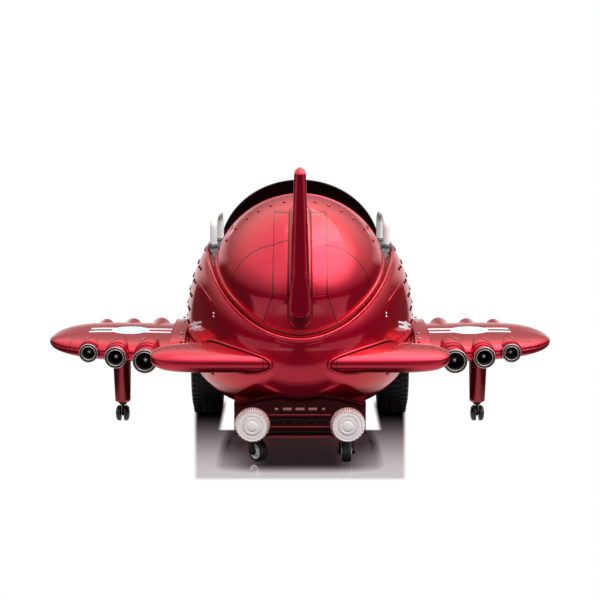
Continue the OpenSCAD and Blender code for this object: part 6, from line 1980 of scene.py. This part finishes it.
heads = [hull_spot(s, y, z) for s in (-1, 1) for y in (-198, -230) for z in np.arange(244, 420, 33.3)]
heads += [hull_spot(s, y, z) for s in (-1, 1) for y in (-96, -128) for z in np.arange(277, 446, 33.3)]
# The hull's rivets take the near-black red: painted shade for the shaded sides of their domes.
copies("hull_rivets", dome_shape(4.6, 2.8, 12, 3), heads, paint_dark)
heads = []
y = -288
share = sqrt(1 - ((DECK_Y - y) / DECK_LEN) ** 2)
for a in np.radians([33, 43, 53, 62, 71, 80, 14]):
    for s in (-1, 1):
        n = (s * cos(a) * share / DECK_R, (y - DECK_Y) / DECK_LEN ** 2, sin(a) * share / DECK_R)
        heads.append(((s * DECK_R * share * cos(a), y, DECK_Z + DECK_R * share * sin(a)), n))
copies("deck_rivets", dome_shape(5.3, 3.2, 14, 3), heads, paint_trim)
heads = [hull_spot(s, y, z) for s in (-1, 1) for y, z in ((-410, 335), (-413, 328))]
copies("hull_caps", dome_shape(2.6, 1.4, 14, 3), heads, pearl)
crease = [(-265, 384), (-300, 379.5), (-336, 373), (-362, 367), (-387, 359)]
paths = [[hull_spot(s, y, z)[0] for y, z in crease] for s in (-1, 1)]
bead("hull_creases", paths, 1.5, paint, 8)


# Finishes of the solids that stay as they were packed

# Black for those that aren't named here
PACKED = {"propeller_motor": steel, "front_axle": steel, "drive_motors": chrome,
    "drive_gearboxes": grey_matte, "battery": grey_matte, "cockpit_tub": grey_matte}
for obj in SCENE.objects:
    if "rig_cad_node" in obj:
        obj.data.materials.clear()
        obj.data.materials.append(PACKED.get(obj["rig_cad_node"], black_matte))


# Floor, backdrop and light

FLOOR = 12000.0


def empty_tree(owner):
    owner.use_nodes = True
    owner.node_tree.nodes.clear()
    return owner.node_tree


def shader_of(tree, kind, **inputs):
    return add_node(tree, "ShaderNode" + kind, inputs).outputs[0]


def either(share, a, b):
    return joined([share], "ShaderNodeMixShader", {0: share, 1: a, 2: b})[0]


def floor_material():
    """White, with a mirror image and a shadow of the object that fade out towards the camera. The shadow is
    partly rendered and partly painted: beside the object's middle the mirror turns near black. Other rays
    than the camera's meet a grey floor, painted lighter in a pool round the object: a painted pool of light."""
    material = bpy.data.materials.new("floor")
    tree = empty_tree(material)
    path = add_node(tree, "ShaderNodeLightPath").outputs
    x, y, z = coordinate(add_node(tree, "ShaderNodeTexCoord").outputs["Object"])
    side = unsigned(x)
    # How much of the mirror image the camera sees
    ends = times(ease(y, -0.625, -0.595), fade(y, 0.02, 0.12))
    fading = times(fade(minus(side, times(y, 0.074)), 0.27, 0.282), ends, ease(y, -0.6, -0.05, 0.36, 1.0))
    core = times(ease(side, 0.07, 0.2), ease(y, -0.55, -0.3, 0.4, 0.0))
    below = times(minus(0.975, core), ease(y, -0.622, -0.5), fade(side, 0.17, 0.235))
    bare = times(ramp(side, 0.195, 0.205, 1.0, 0.0), ramp(y, -0.212, -0.2))
    near = times(most(fading, times(below, ends)), minus(1.0, bare))
    # The mirror's colour darkens to near black beyond 0.145 m from the middle: a painted shadow.
    shade = ease(side, 0.115, 0.145, 1.0, 0.06)
    # Where reflections on the object meet a white floor
    wake = times(fade(y, -1.1, -0.7), ease(plus(side, times(y, 0.5)), -0.1, 0.3))
    stern = times(fade(y, -0.82, -0.66), ease(y, -1.35, -1.15))
    sides = times(ease(side, 0.23, 0.34), fade(side, 0.5, 0.85), fade(y, 0.0, 0.4), ease(y, -1.1, -0.8))
    far = times(ease(side, 0.22, 0.6), fade(side, 1.2, 1.9), fade(y, -2.0, -1.35), ease(y, -3.6, -2.9))
    ahead = times(ease(y, 0.55, 1.1, 0.0, 0.85), fade(minus(side, times(y, 0.5)), 0.15, 0.45))
    reach = radius_of(x, plus(y, 0.53))
    beyond = times(most(times(wake, 0.5), far), ease(reach, 1.8, 1.98, 0.08, 1.0))
    lit = most(beyond, times(stern, 0.6), times(sides, 0.9), ahead)
    seen = most(path["Is Camera Ray"], path["Is Transmission Ray"], times(path["Is Glossy Ray"], lit))
    white = shader_of(tree, "Emission", Color=blend(near, (1, 1, 1, 1), (0.98, 0.74, 0.77, 1)), Strength=1.0)
    # Lighter grey near the object and darker far away: a painted pool of light for rays that bounce off the
    # floor.
    grey = blend(fade(radius_of(x, y), 1.3, 2.2), (0.03, 0.03, 0.03, 1), (0.11, 0.1, 0.1, 1))
    pale = shader_of(tree, "BsdfDiffuse", Color=blend(path["Is Glossy Ray"], grey, (0.03, 0.028, 0.028, 1)))
    mirror = shader_of(tree, "BsdfGlossy", Color=blend(shade, (0, 0, 0, 1), (0.95, 0.9, 0.92, 1)),
        Roughness=0.03)
    polished = either(near, either(times(near, 0.25), white, pale), mirror)
    add_node(tree, "ShaderNodeOutputMaterial", {"Surface": either(seen, pale, polished)})
    return material


floor = mesh_object("floor", [(-FLOOR, -FLOOR, 0), (FLOOR, -FLOOR, 0), (FLOOR, FLOOR, 0), (-FLOOR, FLOOR, 0)],
    [(0, 1, 2, 3)])
floor.data.materials.append(floor_material())


def studio_world():
    """White for the camera. Light and reflections are strong overhead and fall off to the horizon."""
    world = bpy.data.worlds.new("studio")
    SCENE.world = world
    tree = empty_tree(world)
    path = add_node(tree, "ShaderNodeLightPath").outputs
    x, y, z = coordinate(add_node(tree, "ShaderNodeTexCoord").outputs["Generated"])
    side = unsigned(x)
    high = ease(z, 0.02, 0.7, 0.0, 1.15)
    panel = ease(plus(times(x, 0.48), times(y, -0.13), times(z, 0.87)), 0.62, 0.97)
    behind = times(ease(y, -0.75, -0.4, 0.6, 0.0), ease(z, 0.03, 0.28), ease(side, 0.42, 0.62))
    front = times(ease(minus(side, times(z, 1.6)), 0.42, 0.58, 0.8, 0.0), ramp(y, 0.2, 0.5),
        ease(z, 0.02, 0.2, 1.0, 0.4))
    around = times(plus(ease(z, 0.05, 0.16, 0.04, 0.2), high, times(panel, 2.5)),
        minus(ease(y, -0.92, -0.6, 0.72, 1.0), ease(y, 0.8, 0.95, 0.0, 0.3)))
    soft = plus(high, times(panel, 2.8), ease(y, -0.9, -0.1, 0.26, 0.0))
    white, tent, light = (shader_of(tree, "Background", Color=(1, 1, 1, 1), Strength=level)
        for level in (1.0, most(around, behind, front), soft))
    clear = most(path["Is Camera Ray"], path["Is Transmission Ray"])
    sky = either(clear, either(path["Is Glossy Ray"], light, tent), white)
    add_node(tree, "ShaderNodeOutputWorld", {"Surface": sky})


studio_world()

key_light = bpy.data.lights.new("key", "AREA")
key_light.shape, key_light.size, key_light.size_y, key_light.energy = "RECTANGLE", 2.4, 2.4, 19
key = link(bpy.data.objects.new("key", key_light))
key.location = (0.7, 0.9, 3.2)
key.rotation_euler = (Vector((0, -0.05, 0.35)) - Vector(key.location)).to_track_quat("-Z", "Y").to_euler()


SCENE.view_settings.view_transform = "Standard"
